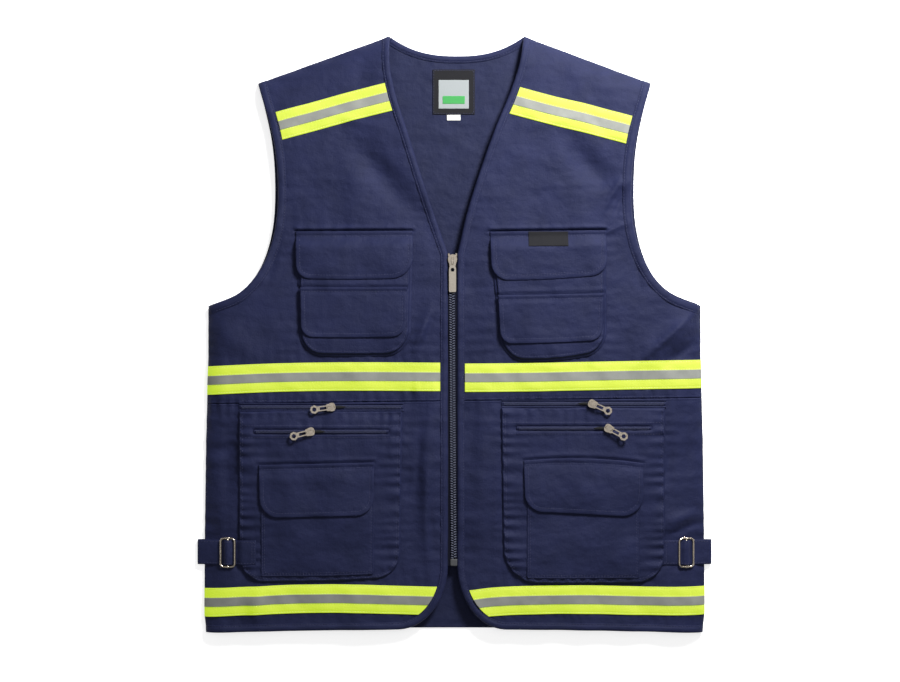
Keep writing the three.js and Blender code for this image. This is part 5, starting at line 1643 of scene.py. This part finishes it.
def label(name, low, high, level, material, height, node=None, depth=0.7):
    """Woven tape at a level over other cloth, with thin edges."""
    return strip(name, low, high, level, material, node, 3.0, 0.25, depth, height)


low, high = box_mm("neck_label")
neck_label = label(
    "neck_label_black", low, high, 0.9, LABEL_BLACK, back_surface, "neck_label"
)
centre = middle_of("neck_label")
for name, near, far, level, material in (
    ("neck_label_field", (19, 21, 0), (19, 15, 0), 1.15, LABEL_GREY),
    ("neck_label_bar", (14, 15, 0), (14, -5, 0), 1.4, LABEL_GREEN),
):
    label(name, centre - near, centre + far, level, material, back_surface, depth=0.4)
x0, y0, x1, y1 = low[0] + 1.3, low[1] + 1.3, high[0] - 1.3, high[1] - 1.3
rim = np.array([(x0, y0), (x1, y0), (x1, y1), (x0, y1), (x0, y0)])
stitch("navy", rim, above_back(0.95))
low, high = box_mm("size_tab")
tab = label("size_tab_white", low, high, 0.9, LABEL_WHITE, back_surface, "size_tab")


def on_flap(x, y):
    """Height of the right chest flap's top."""
    return on_top("chest_flap_right_cloth")(x.ravel(), y.ravel()).reshape(x.shape)


low, high = box_mm("chest_label")
label("chest_label_bare", low, high, 0.7, LABEL_BLACK, on_flap, "chest_label", 0.8)
print("labels lie at", round(float(low[1])), "and", round(float(y0)))

# %% [markdown]
# All rows of stitches are drawn by now, so each thread becomes one piece.
# %% Seams
seams = sew("seam_stitches", "navy", THREAD)
tape_seams = sew("tape_stitches", "lime", LIME_THREAD)
print("stitches", len(seams.data.polygons) // 12, len(tape_seams.data.polygons) // 12)

# %% [markdown]
# The sheets are the back and the four front cloths, as they lie. The loop below only reads each
# front's side and declares nothing. What is sewn on them goes with them.
# %% Sheets
for piece, plan, x, y in fronts:
    side = "left" if "left" in piece.name else "right"
print("sheets", 1 + len(fronts))

# %% [markdown]
# The vest lies on a white sheet under a small window light and a wide, weak one, as shadows in the
# photograph are soft but clear. The white surface shines a little itself, so that it stays white.
# %% Table and lights
floor_mesh = bpy.data.meshes.new("white_table")
floor_mesh.from_pydata([(-3, -3, 0), (3, -3, 0), (3, 3, 0), (-3, 3, 0)], [], [(0, 1, 2, 3)])
floor = bpy.data.objects.new("white_table", floor_mesh)
scene.collection.objects.link(floor)
table, tree, shader = surface("white paper", "#F7F7F7", 0.9)
shader.inputs["Emission Color"].default_value = (1, 1, 1, 1)
shader.inputs["Emission Strength"].default_value = 0.62
floor_mesh.materials.append(table)


def lamp(name, place, size, power):
    """Square area light that faces the vest's middle."""
    light = bpy.data.lights.new(name, "AREA")
    light.size = size
    light.energy = power
    holder = bpy.data.objects.new(name, light)
    scene.collection.objects.link(holder)
    holder.location = place
    holder.rotation_euler = (-Vector(place)).to_track_quat("-Z", "Y").to_euler()


lamp("window", (0.5, 0.85, 0.75), 0.3, 33)
lamp("ceiling", (0.0, 0.1, 2.6), 2.2, 8)
world = bpy.data.worlds.new("studio")
world.use_nodes = True
world.node_tree.nodes["Background"].inputs["Color"].default_value = (1, 1, 1, 1)
world.node_tree.nodes["Background"].inputs["Strength"].default_value = 0.25
scene.world = world
scene.view_settings.view_transform = "Standard"
print("lights", len(bpy.data.lights))

# %% [markdown]
# The camera looks straight down from above the vest's middle. Its lens is worked out so that the
# picture is as wide as the photograph at the vest's mean height.
# %% Camera
CAMERA_HEIGHT = 2.2
VIEW_WIDTH = 1.125
VIEW_CENTRE = (-0.0056, -0.00875)
camera = bpy.data.cameras.new("above")
camera.sensor_width = 36
camera.lens = 36 * (CAMERA_HEIGHT - 0.012) / VIEW_WIDTH
eye = bpy.data.objects.new("above", camera)
eye.location = (*VIEW_CENTRE, CAMERA_HEIGHT)
scene.collection.objects.link(eye)
scene.camera = eye

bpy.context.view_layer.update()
faces = [face for piece in bpy.data.objects if piece.type == "MESH" for face in piece.data.polygons]
print("triangles", sum(len(face.vertices) - 2 for face in faces))
